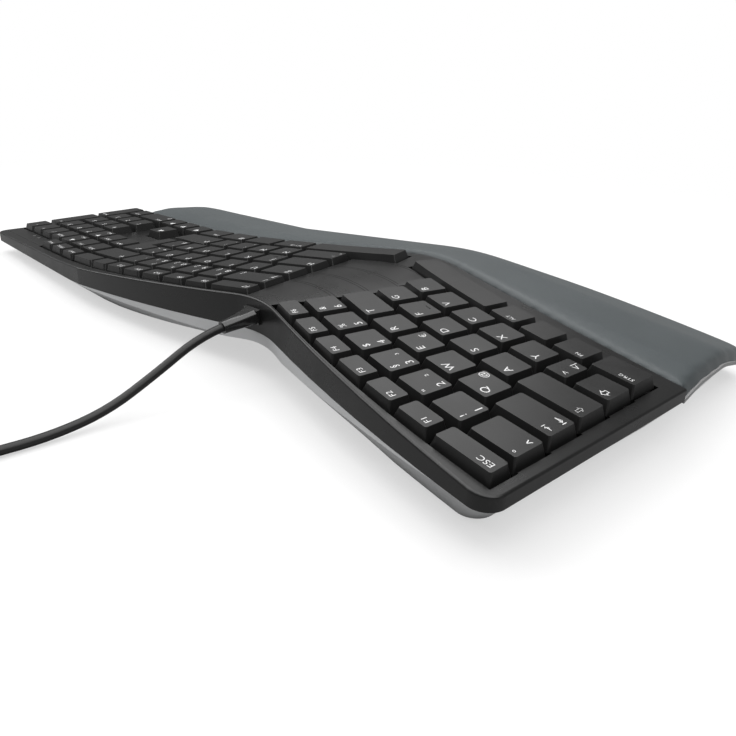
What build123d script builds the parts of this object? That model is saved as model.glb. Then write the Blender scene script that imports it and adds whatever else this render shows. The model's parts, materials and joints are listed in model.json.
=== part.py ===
from build123d import *
from math import ceil, cos, pi, radians, sin, sqrt, tan
from typing import NamedTuple
import os

# Ergonomic keyboard, millimetres. +X runs to the number pad, +Y to the rear, +Z up.
# The origin is below the middle of the body, on the desk.

os.makedirs("parts", exist_ok=True)

# Body, seen from above
body_width = 480.0
split_x = -80.0
rim_rear_y = 113.0
rim_notch_y = 87.5
rim_sag = 9.3
rim_reach = 156.0
seam_y = -10.5
seam_notch_y = -33.5
seam_sag = 10.0
seam_reach = 160.0
notch_reach = 15.0
notch_lift = 1.4
palm_front_y = -113.0
palm_recess_y = -84.0
corner_radius = 8.0
palm_corner_radius = 13.0

# Key field
pitch = 19.0
home_y = 66.0
home_radius = 602.0
arc_reach = 173.0
left_margin = 20.9
inner_angle = 14.65
block_overrun = 9.5
nav_gap = 1.5
function_offset = 34.6
space_outer = 101.65
space_inner = 167.6

# Height of the key tops, and how they lean
crown_z = 42.7
left_slope = 0.0932
pad_slope = 0.04
bend_reach = 182.0
row_fall = 0.0309
saddle_radius = 280.0
bend_radius = 200.0

# Keycaps and stems, and the levels below the key tops
cap_height = 5.8
cap_gap = 1.4
cap_draft = 1.55
function_depth = 11.9
cap_wall = 1.2
cap_roof = 1.6
cap_corner = 1.0
travel = 2.8
stroke_gap = 0.3
stem_side = 5.0
post_side = 3.0
stem_clearance = 0.25
guide_thickness = 1.2
stem_engagement = 0.3
sheet_thickness = 0.5
dome_outer_radius = 5.2
dome_inner_radius = 4.0
dome_rise = 0.8
dome_root = 0.35
foil_thickness = 0.3
plate_thickness = 0.6
layer_gap = 0.1
stabiliser_radius = 0.5

# Upper housing
frame_skin = 2.4
frame_wall = 2.2
post_pilot_gap = 0.05
frame_drop_end = 4.2
frame_drop_saddle = 2.0
frame_level_reach = 148.0
frame_fall = 0.012
rim_edge_radius = 1.0
well_clearance = 1.0
seam_inset = 9.0
plate_inset = 4.5
plate_left_gap = 8.5
plate_right_gap = 9.6
plate_rear_gap = 7.5
guide_inset = 3.5
light_window_radius = 1.2
light_clearance = 0.1

# Lower housing
seam_end_z = 17.5
seam_crown_z = 23.5
seam_pad_z = 12.5
seam_far_z = 9.5
shell_wall = 2.0
shell_base_z = 0.8
undercut_inset = 14.0
undercut_left_z = 19.0
undercut_right_z = 9.0
seam_clearance = 0.3
joint_gap = 0.1
room_seam_clearance = 0.5
arch_foot_left = -184.0
arch_shoulder_x = -158.0
arch_shoulder_z = 9.0
arch_crown_z = 18.5
arch_foot_right = 80.0

# Palm rest
pad_thickness = 5.0
carrier_thickness = 1.8
pad_inset = 0.6
pad_bond_gap = 0.2
pad_draw_in = 4.0
palm_drop_end = 6.0
palm_drop_crown = 3.5

# Screws, feet and board
screw_shank_radius = 1.4
screw_head_radius = 2.8
screw_head_height = 1.8
screw_grip = 5.0
screw_bite = 4.0
screw_recess_width = 0.8
boss_radius = 4.4
screw_clearance = 0.2
boss_clearance = 0.5
rubber_radius = 5.5
rubber_thickness = 1.6
tilt_length = 24.0
tilt_width = 30.0
tilt_thickness = 2.6
tilt_rise = 0.2
tilt_pin_radius = 1.0
tilt_pin_length = 1.2
tilt_pin_clearance = 0.15
pocket_clearance = 0.5
pocket_wall = 2.0
pocket_roof = 1.4
finger_room = 1.5
board_width = 40.0
board_depth = 9.0
board_thickness = 1.6
board_rise = 5.2
board_chip_height = 0.8

# Cable
cable_radius = 2.0
collar_x = split_x + 4.0
collar_z = 31.0
collar_length = 17.0
collar_root = 3.8
collar_flange = 1.2
collar_lip = 3.0
collar_notch = 2.0
collar_fall = 9.0
collar_tip_radius = 3.0
collar_width = 10.5
collar_height = 7.2
strand_gap = 0.7
coil_radius = 32.0
coil_halves = 6
coil_layers = 3
coil_x = -44.5
coil_y = 248.0
coil_samples = 1500
exit_run = 12.0
bend_share = 0.45
desk_gap = 0.1
tie_thickness = 0.8
tie_width = 5.0
tie_slack = 0.3
tie_offset = 0.3
plug_length = 26.0
plug_width = 15.0
plug_height = 7.6
plug_corner = 2.0
contact_length = 12.0
contact_width = 12.0
contact_height = 4.5
contact_wall = 0.4
contact_root = 3.0
tongue_height = 1.4
tongue_overlap = 0.2
tongue_setback = 0.3

# Values worked out from the sizes above
left_x = -body_width / 2
right_x = body_width / 2
bend_x = split_x + bend_reach
arc_y = home_y - home_radius
nav_x = split_x + arc_reach + block_overrun + nav_gap
guide_top = cap_height + travel + stroke_gap
guide_bottom = guide_top + guide_thickness
stem_end = guide_bottom + stem_engagement
sheet_top = stem_end + travel + 0.1
sheet_bottom = sheet_top + sheet_thickness
foil_top = sheet_bottom + layer_gap
foil_bottom = foil_top + foil_thickness
plate_top = foil_bottom + layer_gap
plate_bottom = plate_top + plate_thickness
row_offset = {
    "function": function_offset,
    "number": pitch,
    "upper": 0.0,
    "home": -pitch,
    "lower": -2 * pitch,
    "bottom": -3 * pitch,
}


def finish(builder, label):
    """Labels a finished piece and writes it out."""
    builder.part.label = label
    export_step(builder.part, f"parts/{label}.step")
    print(label, round(builder.part.volume), len(builder.solids()), flush=True)


# Waves that run from left to right


def key_top_z(x, y):
    """Height of the key tops over a point of the desk, with the folds left sharp."""
    drop = abs(x - split_x) * left_slope
    if x > bend_x:
        drop = bend_reach * left_slope + (x - bend_x) * pad_slope
    return crown_z - drop - (y - home_y) * row_fall


def key_wave(depth):
    """Cross-section of the key tops, sunk by a depth."""
    return [(x, key_top_z(x, home_y) - depth) for x in (left_x - 20, split_x, bend_x, right_x + 20)]


def frame_wave(depth):
    """Cross-section of the upper housing's face, sunk by a depth."""
    level = frame_drop_end + depth
    near = split_x - frame_level_reach
    far = split_x + frame_level_reach
    return [
        (left_x - 20, key_top_z(left_x - 20, home_y) - level),
        (near, key_top_z(near, home_y) - level),
        (split_x, crown_z - frame_drop_saddle - depth),
        (far, key_top_z(far, home_y) - level),
        (bend_x + 8, key_top_z(bend_x + 8, home_y) - level),
        (right_x + 20, key_top_z(right_x + 20, home_y) - level),
    ]


def seam_wave(rise):
    """Cross-section of the joint between the two housings, raised by an amount."""
    stations = (left_x - 20, split_x, bend_x - 6, right_x + 20)
    heights = (seam_end_z, seam_crown_z, seam_pad_z, seam_far_z)
    return [(x, z + rise) for x, z in zip(stations, heights)]


def palm_wave():
    """Cross-section of the palm rest's rear edge."""
    return [
        (left_x - 20, key_top_z(left_x - 20, seam_y) - palm_drop_end),
        (split_x, key_top_z(split_x, seam_y) - palm_drop_crown),
        (bend_x, key_top_z(bend_x, seam_y) - palm_drop_end),
        (right_x + 20, key_top_z(right_x + 20, seam_y) - palm_drop_end),
    ]


key_radii = [saddle_radius, bend_radius]
frame_radii = [400.0, 190.0, 400.0, 300.0]
seam_radii = [300.0, 300.0]
palm_radii = [190.0, 600.0]
palm_section = [(12.0, -2.1), (-30.0, 2.2), (-64.0, 0.0), (-122.0, -15.5)]
palm_bends = [40.0, 60.0]


def band(top, top_radii, low, low_radii, fall):
    """A slab between two waves, drawn out from rear to front along the rows' fall."""
    half = 200.0
    lift = -half * fall
    with BuildPart() as slab:
        with BuildSketch(Plane((0, home_y + half, 0), x_dir=(1, 0, 0), z_dir=(0, -1, 0))):
            with BuildLine():
                upper = FilletPolyline(*[(x, z + lift) for x, z in top], radius=top_radii)
                lower = FilletPolyline(*[(x, z + lift) for x, z in low], radius=low_radii)
                Line(upper @ 0, lower @ 0)
                Line(upper @ 1, lower @ 1)
            make_face()
        extrude(amount=2 * half, dir=(0, -1, fall))
    return slab.part


def key_band(top_depth, bottom_depth):
    """A sheet that follows the key tops between two depths below them."""
    return band(key_wave(top_depth), key_radii, key_wave(bottom_depth), key_radii, row_fall)


def palm_band(top_depth, bottom_depth):
    """The palm rest's section between two depths, carried along its wave."""
    start_x, start_z = palm_wave()[0]
    with BuildPart() as slab:
        with BuildLine(Plane.XZ) as path:
            FilletPolyline(*palm_wave(), radius=palm_radii)
        start = Plane((start_x, 0, start_z), x_dir=(0, 1, 0), z_dir=path.wires()[0] % 0)
        with BuildSketch(start):
            with BuildLine():
                upper = FilletPolyline(*[(y, z - top_depth) for y, z in palm_section], radius=palm_bends)
                lower = FilletPolyline(*[(y, z - bottom_depth) for y, z in palm_section], radius=palm_bends)
                Line(upper @ 0, lower @ 0)
                Line(upper @ 1, lower @ 1)
            make_face()
        sweep(path=path.wires()[0])
    return slab.part


def palm_z(x, y):
    """Height of the palm rest's upper face, with the folds left sharp."""
    wave = palm_wave()
    for (x0, z0), (x1, z1) in zip(wave, wave[1:]):
        if x0 <= x <= x1:
            base = z0 + (z1 - z0) * (x - x0) / (x1 - x0)
    for (y1, h1), (y0, h0) in zip(palm_section, palm_section[1:]):
        if y0 <= y <= y1:
            rise = h0 + (h1 - h0) * (y - y0) / (y1 - y0)
    return base + rise


def seam_z(x):
    """Height of the joint between the housings, with the folds left sharp."""
    wave = seam_wave(0)
    for (x0, z0), (x1, z1) in zip(wave, wave[1:]):
        if x0 <= x <= x1:
            return z0 + (z1 - z0) * (x - x0) / (x1 - x0)


# Outlines seen from above


def double_sweep(ends_y, notch_y, sag, reach, side_inset, far_reach, end_inset):
    """Draws a line that dips to a notch at the split, and returns its left and right ends."""
    left = (split_x - reach + side_inset, ends_y)
    level = (split_x + reach, ends_y)
    near_left = (split_x - notch_reach, notch_y + notch_lift)
    near_right = (split_x + notch_reach, notch_y + notch_lift)
    sweep_left = ThreePointArc(left, (split_x - reach * 0.54, ends_y - sag), near_left)
    ThreePointArc(near_right, (split_x + reach * 0.54, ends_y - sag), level)
    TangentArc(near_left, near_right, tangent=sweep_left % 1)
    right = (split_x + far_reach - end_inset, ends_y)
    Line(level, right)
    return left, right


def rim_edges(inset):
    """Draws the rear rim, inset from the outline."""
    return double_sweep(
        rim_rear_y - inset, rim_notch_y - inset, rim_sag, rim_reach, inset, right_x - split_x, inset
    )


def seam_edges(shift, inset):
    """Draws the line where the housing meets the palm rest, shifted to the rear."""
    return double_sweep(
        seam_y + shift, seam_notch_y + shift, seam_sag, seam_reach, inset, right_x - split_x, inset
    )


def front_edge(inset):
    """Draws the palm rest's front edge, inset from the outline."""
    front = palm_front_y + inset
    return Spline(
        (left_x + 8 + inset, front + 5.5),
        (split_x - 98, front),
        (split_x - 45, front + 10),
        (split_x, palm_recess_y + inset),
        (split_x + 45, front + 12),
        (split_x + 110, front + 5.5),
        (split_x + 200, front + 10),
        (split_x + 300, front + 31),
        (right_x - inset, front + 59),
        tangents=[(1, -0.25), (0.15, 1.0)],
    )


def whole_outline(inset):
    """Plan of the body and palm rest together, inset from the outline."""
    with BuildSketch() as plan:
        with BuildLine():
            left, right = rim_edges(inset)
            front = front_edge(inset)
            waist = (left_x + inset, seam_y)
            Line(left, waist)
            Line(waist, front @ 0)
            Line(front @ 1, right)
        make_face()
        rear_corners = [plan.vertices().sort_by_distance(corner)[0] for corner in (left, right)]
        fillet(rear_corners, corner_radius)
        fillet(plan.vertices().sort_by_distance(front @ 0)[0], palm_corner_radius)
    return plan.sketch


def frame_outline(inset, seam_shift):
    """Plan of the upper housing, with its own inset at the seam."""
    with BuildSketch() as plan:
        with BuildLine():
            rear_left, rear_right = rim_edges(inset)
            seam_left, seam_right = seam_edges(seam_shift, inset)
            Line(rear_left, seam_left)
            Line(rear_right, seam_right)
        make_face()
        rear_corners = [plan.vertices().sort_by_distance(corner)[0] for corner in (rear_left, rear_right)]
        fillet(rear_corners, corner_radius)
    return plan.sketch


def palm_outline(inset, seam_shift):
    """Plan of the palm rest, with its own gap at the seam."""
    with BuildSketch() as plan:
        with BuildLine():
            seam_left, seam_right = seam_edges(-seam_shift, inset)
            front = front_edge(inset)
            Line(seam_left, front @ 0)
            Line(front @ 1, seam_right)
        make_face()
        fillet(plan.vertices().sort_by_distance(front @ 0)[0], palm_corner_radius)
    return plan.sketch


# Key field


class Corner(NamedTuple):
    """A corner of a key's slot: arc length, distance from the home line, row, and the way inwards."""

    s: float
    v: float
    row: str
    ds: int
    dv: int


class Key(NamedTuple):
    """A key: the side it stands on, the slots it fills, its stem and its outer posts."""

    side: int
    slots: list
    stem: tuple
    posts: list


left_zone = Plane((split_x, home_y, crown_z), x_dir=(1, 0, left_slope), z_dir=(-left_slope, row_fall, 1))
right_zone = Plane((split_x, home_y, crown_z), x_dir=(1, 0, -left_slope), z_dir=(left_slope, row_fall, 1))
pad_zone = Plane(
    (bend_x, home_y, key_top_z(bend_x, home_y)), x_dir=(1, 0, -pad_slope), z_dir=(pad_slope, row_fall, 1)
)
zones = {-1: left_zone, 1: right_zone, 0: pad_zone}


def zone_point(side, s, v, row):
    """A point of the key field in its zone's own coordinates."""
    zone = zones[side]
    if side == 0:
        x = nav_x + s
        y = home_y + v
    else:
        angle = max(s, 0.0) / (home_radius + row_offset[row])
        radius = home_radius + v
        x = split_x + side * (arc_reach - radius * sin(angle) - min(s, 0.0))
        y = arc_y + radius * cos(angle)
    normal = zone.z_dir
    z = zone.origin.Z - (normal.X * (x - zone.origin.X) + normal.Y * (y - zone.origin.Y)) / normal.Z
    local = zone.to_local_coords(Vector(x, y, z))
    return local.X, local.Y


def slot_face(side, corners, inset):
    """The outline of a slot, drawn in on every side."""
    count = len(corners)
    points = [zone_point(side, c.s + c.ds * inset, c.v + c.dv * inset, c.row) for c in corners]
    with BuildSketch() as face:
        with BuildLine():
            for i in range(count):
                here = corners[i]
                after = corners[(i + 1) % count]
                if side and abs(after.s - here.s) > 1.8 * pitch and min(here.s, after.s) > 0:
                    middle = zone_point(side, (here.s + after.s) / 2, here.v + here.dv * inset, here.row)
                    ThreePointArc(points[i], middle, points[(i + 1) % count])
                else:
                    Line(points[i], points[(i + 1) % count])
        make_face()
        if inset > 0:
            fillet(face.vertices(), cap_corner)
    return face.sketch


def slot_corners(row, s0, s1, low, high):
    """Four corners of a slot between two arc lengths and two distances from the home line."""
    return [
        Corner(s0, low, row, 1, 1),
        Corner(s1, low, row, -1, 1),
        Corner(s1, high, row, -1, -1),
        Corner(s0, high, row, 1, -1),
    ]


def slot_key(side, row, s0, s1, low, high, post_reach=0.0, upright=False):
    """A four-sided key in its slot, with outer posts where it is long."""
    s = (s0 + s1) / 2
    v = (low + high) / 2
    posts = []
    if post_reach and upright:
        posts = [(s, v - post_reach, row), (s, v + post_reach, row)]
    elif post_reach:
        posts = [(s - post_reach, v, row), (s + post_reach, v, row)]
    return Key(side, [slot_corners(row, s0, s1, low, high)], (s, v, row), posts)


def row_limits(row):
    """Front and rear limits of a row's slots."""
    half = (function_depth + cap_gap) / 2 if row == "function" else pitch / 2
    return row_offset[row] - half, row_offset[row] + half


def row_keys(side, row, start, widths, way, post_reach=0.0):
    """Keys side by side in one row, from a start towards the split (1) or away from it (-1)."""
    low, high = row_limits(row)
    keys = []
    s = start
    for width in widths:
        after = s + way * width * pitch
        keys.append(slot_key(side, row, min(s, after), max(s, after), low, high, post_reach))
        s = after
    return keys, s


nodes = {}
left_rows = {
    "function": [("key_esc", [1.5]), ("keys_f1_to_f3", [1, 1, 1]), ("keys_f4_to_f6", [1, 1, 1])],
    "number": [("keys_caret_to_six", [1.25, 1, 1, 1, 1, 1, 1])],
    "upper": [("key_tab", [1.5]), ("keys_q_to_t", [1, 1, 1, 1, 1.5])],
    "home": [("key_caps_lock", [1.75]), ("keys_a_to_g", [1, 1, 1, 1, 1])],
    "lower": [("key_shift_left", [1]), ("keys_angle_to_b", [0.75, 1, 1, 1, 1, 1])],
    "bottom": [("key_ctrl_left", [1.25]), ("keys_fn_to_alt", [1, 1, 1])],
}
for row, groups in left_rows.items():
    s = left_margin
    for name, widths in groups:
        nodes[name], s = row_keys(-1, row, s, widths, 1)

right_rows = {
    "function": [("keys_f7_to_f9", [1.5, 1, 1]), ("keys_f10_to_k2", [1, 1, 1, 1])],
    "number": [("keys_seven_to_nine", [1.75, 1, 1]), ("keys_zero_to_accent", [1, 1, 1])],
    "upper": [("keys_z_to_o", [1.25, 1, 1, 1]), ("keys_p_to_plus", [1, 1, 1])],
    "home": [("keys_h_to_l", [1.5, 1, 1, 1]), ("keys_oe_to_hash", [1, 1, 1])],
    "lower": [("keys_n_to_dash", [1.75, 1, 1, 1, 1])],
}
row_ends = {}
for row, groups in right_rows.items():
    s = radians(inner_angle) * (home_radius + row_offset[row])
    for name, widths in groups:
        nodes[name], s = row_keys(1, row, s, widths, -1)
    row_ends[row] = s

# The last key of a right-hand row runs out to the end of the block
outer = -block_overrun
nodes["keys_f10_to_k2"].append(slot_key(1, "function", outer, row_ends["function"], *row_limits("function")))
nodes["key_backspace"] = [slot_key(1, "number", outer, row_ends["number"], *row_limits("number"), 12.0)]
nodes["key_shift_right"] = [slot_key(1, "lower", outer, row_ends["lower"], *row_limits("lower"), 15.0)]

home_low, home_high = row_limits("home")
upper_high = row_limits("upper")[1]
enter_slots = [
    slot_corners("upper", outer, row_ends["upper"], home_high, upper_high),
    slot_corners("home", outer, row_ends["home"], home_low, home_high + 0.7 * pitch),
]
enter_s = (outer + row_ends["home"]) / 2
enter_posts = [(enter_s, home_high - 11.0, "home"), (enter_s, home_high + 11.0, "upper")]
nodes["key_enter"] = [Key(1, enter_slots, (enter_s, home_high, "home"), enter_posts)]

# Bottom row: two space bars, and four keys that share the rest on the right
space_limits = row_limits("bottom")
for name, side in (("key_space_left", -1), ("key_space_right", 1)):
    nodes[name] = [slot_key(side, "bottom", space_outer, space_inner, *space_limits, 22.0)]
share = (space_outer - outer) / (4 * pitch)
nodes["keys_altgr_to_ctrl"] = row_keys(1, "bottom", space_outer, [share] * 4, -1)[0]


def pad_key(column, row, columns=1, last_row=None, post_reach=0.0):
    """A key of the straight block on the right, counted in columns from its left edge."""
    low, high = row_limits(row)
    if last_row:
        low = row_limits(last_row)[0]
    start = column * pitch
    return slot_key(0, row, start, start + columns * pitch, low, high, post_reach, last_row is not None)


nodes["keys_f_row_right"] = [pad_key(column, "function") for column in range(3)]
nodes["keys_editing"] = [pad_key(column, row) for row in ("number", "upper") for column in range(3)]
nodes["key_arrow_up"] = [pad_key(1, "lower")]
nodes["keys_arrows_lower"] = [pad_key(column, "bottom") for column in range(3)]
nodes["keys_num_operators"] = [pad_key(column, "number") for column in range(3, 7)]
nodes["keys_num_four_to_nine"] = [pad_key(column, row) for row in ("upper", "home") for column in range(3, 6)]
nodes["keys_num_one_to_comma"] = [pad_key(column, "lower") for column in range(3, 6)]
nodes["keys_num_one_to_comma"].append(pad_key(5, "bottom"))
nodes["key_num_plus"] = [pad_key(6, "upper", 1, "home", 12.0)]
nodes["key_num_enter"] = [pad_key(6, "lower", 1, "bottom", 12.0)]
nodes["key_num_zero"] = [pad_key(3, "bottom", 2, None, 12.0)]
all_keys = [key for keys in nodes.values() for key in keys]


def shank_points(key):
    """The key's stem and posts as local points with their side lengths."""
    points = [(zone_point(key.side, *key.stem), stem_side)]
    for post in key.posts:
        points.append((zone_point(key.side, *post), post_side))
    return points


cavity_height = cap_height - cap_roof
cavity_draft = cap_draft * cavity_height / cap_height


def key_solid(key):
    """A hollow cap with its stem and posts."""
    zone = zones[key.side]
    with BuildPart() as cap:
        for corners in key.slots:
            with BuildSketch(zone.offset(-cap_height)):
                add(slot_face(key.side, corners, cap_gap / 2))
            with BuildSketch(zone):
                add(slot_face(key.side, corners, cap_gap / 2 + cap_draft))
            loft(ruled=True)
        for corners in key.slots:
            with BuildSketch(zone.offset(-cap_height)):
                add(slot_face(key.side, corners, cap_gap / 2 + cap_wall))
            with BuildSketch(zone.offset(-cap_roof)):
                add(slot_face(key.side, corners, cap_gap / 2 + cap_wall + cavity_draft))
            loft(ruled=True, mode=Mode.SUBTRACT)
        with BuildSketch(zone.offset(-stem_end)):
            for point, side in shank_points(key):
                with Locations(point):
                    Rectangle(side, side)
        extrude(amount=stem_end - cap_roof + 0.2)
    return cap.part


for name, keys in nodes.items():
    solids = [key_solid(key) for key in keys]
    with BuildPart() as caps:
        add(solids)
    finish(caps, name)

# Places of screws, feet and the board, seen from above

frame_spots = [
    (-215.0, -8.0),
    (-150.0, -17.0),
    (split_x, -20.0),
    (-10.0, -17.0),
    (60.0, -8.5),
    (150.0, -5.0),
    (225.0, -5.0),
    (split_x, 70.0),
    (nav_x + 1.5 * pitch, home_y - pitch),
    (170.0, 100.0),
]
palm_spots = [(-200.0, -46.0), (-125.0, -60.0), (-35.0, -60.0), (45.0, -60.0), (125.0, -60.0), (170.0, -42.0)]
rubber_spots = [(-205.0, 89.0), (-204.0, -86.0), (96.0, 90.0), (96.0, -82.0), (205.0, 86.0), (196.0, -62.0)]
tilt_spots = {
    "tilt_foot_rear_left": (-204.0, 76.0),
    "tilt_foot_rear_right": (200.0, 66.0),
    "tilt_foot_front_left": (-204.0, -14.0),
    "tilt_foot_front_right": (200.0, -24.0),
}
board_x = 195.0
board_y = 100.0
window_y = 98.0
window_spots = [(board_x - 5.0, window_y), (board_x + 5.0, window_y)]
notch_x = 163.0
notch_y = home_y + 1.55 * pitch
above = 60.0
hull_rise = 40.0
wall_clearance = 0.4
room_margin = 6.0
below = -30.0
board_z = shell_base_z + shell_wall + board_rise
hinge_z = shell_base_z + tilt_rise + tilt_thickness / 2
pocket_top = hinge_z + tilt_thickness / 2 + pocket_clearance


def frame_join(x, y):
    """Height at which a boss of the lower housing meets a post of the upper one."""
    return seam_z(x) - (y - home_y) * frame_fall


def palm_join(x, y):
    """Height at which a boss of the lower housing meets a post of the palm rest's board."""
    return palm_z(x, y) - pad_thickness - carrier_thickness - 3.0


joins = [(x, y, frame_join(x, y)) for x, y in frame_spots]
joins += [(x, y, palm_join(x, y)) for x, y in palm_spots]

# Upper housing, open below, with a well for each block of keys

well_tools = []
for side, zone in zones.items():
    cells = []
    for key in all_keys:
        if key.side == side:
            cells += [slot_face(side, corners, cap_gap / 2 - well_clearance) for corners in key.slots]
    with BuildPart() as wells:
        with BuildSketch(zone.offset(-guide_top - 6)):
            add(cells)
        extrude(amount=guide_top + 16)
    well_tools.append(wells.part)

collar_plane = Plane(
    (collar_x, rim_notch_y, collar_z),
    x_dir=(1, 0, 0),
    z_dir=(0, cos(radians(collar_fall)), -sin(radians(collar_fall))),
)

rim_wire = frame_outline(0, 0).wires()[0]


def on_rim(edge):
    """Whether an edge is part of the upper housing's outer brow, the seam left out."""
    middle = edge @ 0.5
    high = middle.Z > frame_join(middle.X, middle.Y) + 1.5
    level = abs((edge % 0.5).Z) < 0.5
    seam = middle.Y < seam_y + 1
    return high and level and not seam and rim_wire.distance_to(Vector(middle.X, middle.Y, 0)) < 0.01


with BuildPart() as frame_cavity:
    add(band(frame_wave(frame_skin), frame_radii, seam_wave(below), seam_radii, frame_fall))
    with BuildSketch(Plane.XY.offset(below)):
        add(frame_outline(frame_wall, frame_wall))
    extrude(amount=above - below, mode=Mode.INTERSECT)

with BuildPart() as frame_posts:
    add(band(frame_wave(frame_skin / 2), frame_radii, seam_wave(0), seam_radii, frame_fall))
    with BuildSketch(Plane.XY.offset(below)):
        with Locations(*frame_spots):
            Circle(boss_radius)
    extrude(amount=above - below, mode=Mode.INTERSECT)

with BuildPart() as top_frame:
    add(band(frame_wave(0), frame_radii, seam_wave(0), seam_radii, frame_fall))
    with BuildSketch(Plane.XY.offset(below)):
        add(frame_outline(0, 0))
    extrude(amount=above - below, mode=Mode.INTERSECT)
    crest = [edge for edge in top_frame.edges() if on_rim(edge)]
    fillet(crest, rim_edge_radius)
    add(frame_cavity.part, mode=Mode.SUBTRACT)
    add(frame_posts.part)
    for tool in well_tools:
        add(tool, mode=Mode.SUBTRACT)
    for x, y, join in joins[: len(frame_spots)]:
        with BuildSketch(Plane.XY.offset(join - 2)):
            with Locations((x, y)):
                Circle(screw_shank_radius + post_pilot_gap)
        extrude(amount=screw_bite + 2.4, mode=Mode.SUBTRACT)
    with BuildSketch(Plane.XY.offset(board_z)):
        with Locations(*window_spots):
            Circle(light_window_radius + light_clearance)
    extrude(amount=above, mode=Mode.SUBTRACT)
    with BuildSketch(collar_plane.offset(-collar_root)):
        Rectangle(collar_width + 2 * light_clearance, collar_height + 2 * light_clearance)
    extrude(amount=2 * collar_root, mode=Mode.SUBTRACT)
finish(top_frame, "top_frame")


lean = (undercut_right_z - undercut_left_z) / body_width
undercut_plane = Plane(
    (0, 0, (undercut_left_z + undercut_right_z) / 2), x_dir=(1, 0, lean), z_dir=(-lean, 0, 1)
)


def hull(inset):
    """The lower housing's outside, undercut towards the desk, as a tall block."""
    with BuildPart() as block:
        with BuildSketch(Plane.XY.offset(shell_base_z + inset)):
            add(whole_outline(undercut_inset + inset))
        with BuildSketch(undercut_plane):
            add(whole_outline(inset))
        loft(ruled=True)
        shoulder = block.faces().filter_by(lambda f: f.normal_at().Z > 0.9).sort_by(Axis.Z)[-1]
        extrude(shoulder, amount=hull_rise, dir=(0, 0, 1))
    return block.part


# Sheets below the keys

with BuildPart() as sheet_room:
    add(hull(shell_wall + wall_clearance))


def layer(top_depth, bottom_depth, inset):
    """A sheet that follows the key tops inside the housing, pierced for the screw bosses."""
    with BuildPart() as sheet:
        add(key_band(top_depth, bottom_depth))
        with BuildSketch(Plane.XY.offset(below)):
            add(frame_outline(inset, inset + seam_inset - plate_inset))
            with Locations(*frame_spots):
                Circle(boss_radius + boss_clearance, mode=Mode.SUBTRACT)
            with Locations((notch_x, notch_y)):
                Rectangle(right_x, right_x, align=(Align.MIN, Align.MIN), mode=Mode.SUBTRACT)
            with Locations((collar_x, rim_notch_y - collar_root - collar_notch)):
                Rectangle(collar_width + 6, 40, align=(Align.CENTER, Align.MIN), mode=Mode.SUBTRACT)
            with Locations((left_x + plate_left_gap, rim_rear_y - plate_rear_gap)):
                Rectangle(
                    body_width - plate_left_gap - plate_right_gap,
                    rim_rear_y,
                    align=(Align.MIN, Align.MAX),
                    mode=Mode.INTERSECT,
                )
        extrude(amount=above - below, mode=Mode.INTERSECT)
        add(sheet_room.part, mode=Mode.INTERSECT)
    return sheet.part


stem_spots = {side: [] for side in zones}
for key in all_keys:
    stem_spots[key.side] += shank_points(key)

with BuildPart() as key_guide_plate:
    add(layer(guide_top, guide_bottom, guide_inset))
    for side, zone in zones.items():
        with BuildSketch(zone.offset(-guide_bottom - 3)):
            for point, width in stem_spots[side]:
                with Locations(point):
                    Rectangle(width + 2 * stem_clearance, width + 2 * stem_clearance)
        extrude(amount=guide_thickness + 6, mode=Mode.SUBTRACT)
finish(key_guide_plate, "key_guide_plate")

with BuildPart() as dome_sheet:
    add(layer(sheet_top, sheet_bottom, plate_inset))
    for side, zone in zones.items():
        centres = [zone_point(side, *key.stem) for key in all_keys if key.side == side]
        with BuildSketch(zone.offset(-sheet_top - dome_root)):
            with Locations(*centres):
                Circle(dome_outer_radius)
            with Locations(*centres):
                Circle(dome_inner_radius, mode=Mode.SUBTRACT)
        extrude(amount=dome_root + dome_rise)
    add(sheet_room.part, mode=Mode.INTERSECT)
finish(dome_sheet, "dome_sheet")

with BuildPart() as membrane:
    add(layer(foil_top, foil_bottom, plate_inset))
finish(membrane, "membrane")

with BuildPart() as base_plate:
    add(layer(plate_top, plate_bottom, plate_inset))
finish(base_plate, "base_plate")

wires = []
for key in all_keys:
    zone = zones[key.side]
    if key.posts:
        (s0, v0, row0), (s1, v1, row1) = key.posts
        near = post_side / 2 + stem_clearance + 2 * stabiliser_radius
        out = near + 2.6
        if abs(s1 - s0) > 1:
            ends = [(s0, v0 + near, row0), (s0, v0 + out, row0), (s1, v1 + out, row1), (s1, v1 + near, row1)]
        else:
            ends = [(s0 + near, v0, row0), (s0 + out, v0, row0), (s1 + out, v1, row1), (s1 + near, v1, row1)]
        points = [zone_point(key.side, *end) for end in ends]
        with BuildPart() as wire:
            with BuildLine(zone.offset(-guide_bottom - stabiliser_radius - 0.1)) as run:
                FilletPolyline(*points, radius=1.2)
            path = run.wires()[0]
            with BuildSketch(Plane(path @ 0, z_dir=path % 0)):
                Circle(stabiliser_radius)
            sweep(path=path)
        wires.append(wire.part)
with BuildPart() as stabiliser_wires:
    add(wires)
finish(stabiliser_wires, "stabiliser_wires")

# Lower housing


def arch_block(rise):
    """Everything below the arch, raised by an amount, from the front to the rear."""
    with BuildPart() as block:
        with BuildSketch(Plane.XZ.offset(-2 * above)):
            with BuildLine():
                roof = FilletPolyline(
                    (arch_foot_left, -2.0 + rise),
                    (arch_shoulder_x, arch_shoulder_z + rise),
                    (split_x - 5.0, arch_crown_z + rise),
                    (arch_foot_right, -2.0 + rise),
                    radius=[60.0, 120.0],
                )
                Polyline(roof @ 1, (arch_foot_right, below), (arch_foot_left, below), roof @ 0)
            make_face()
        extrude(amount=4 * above)
    return block.part


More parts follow.
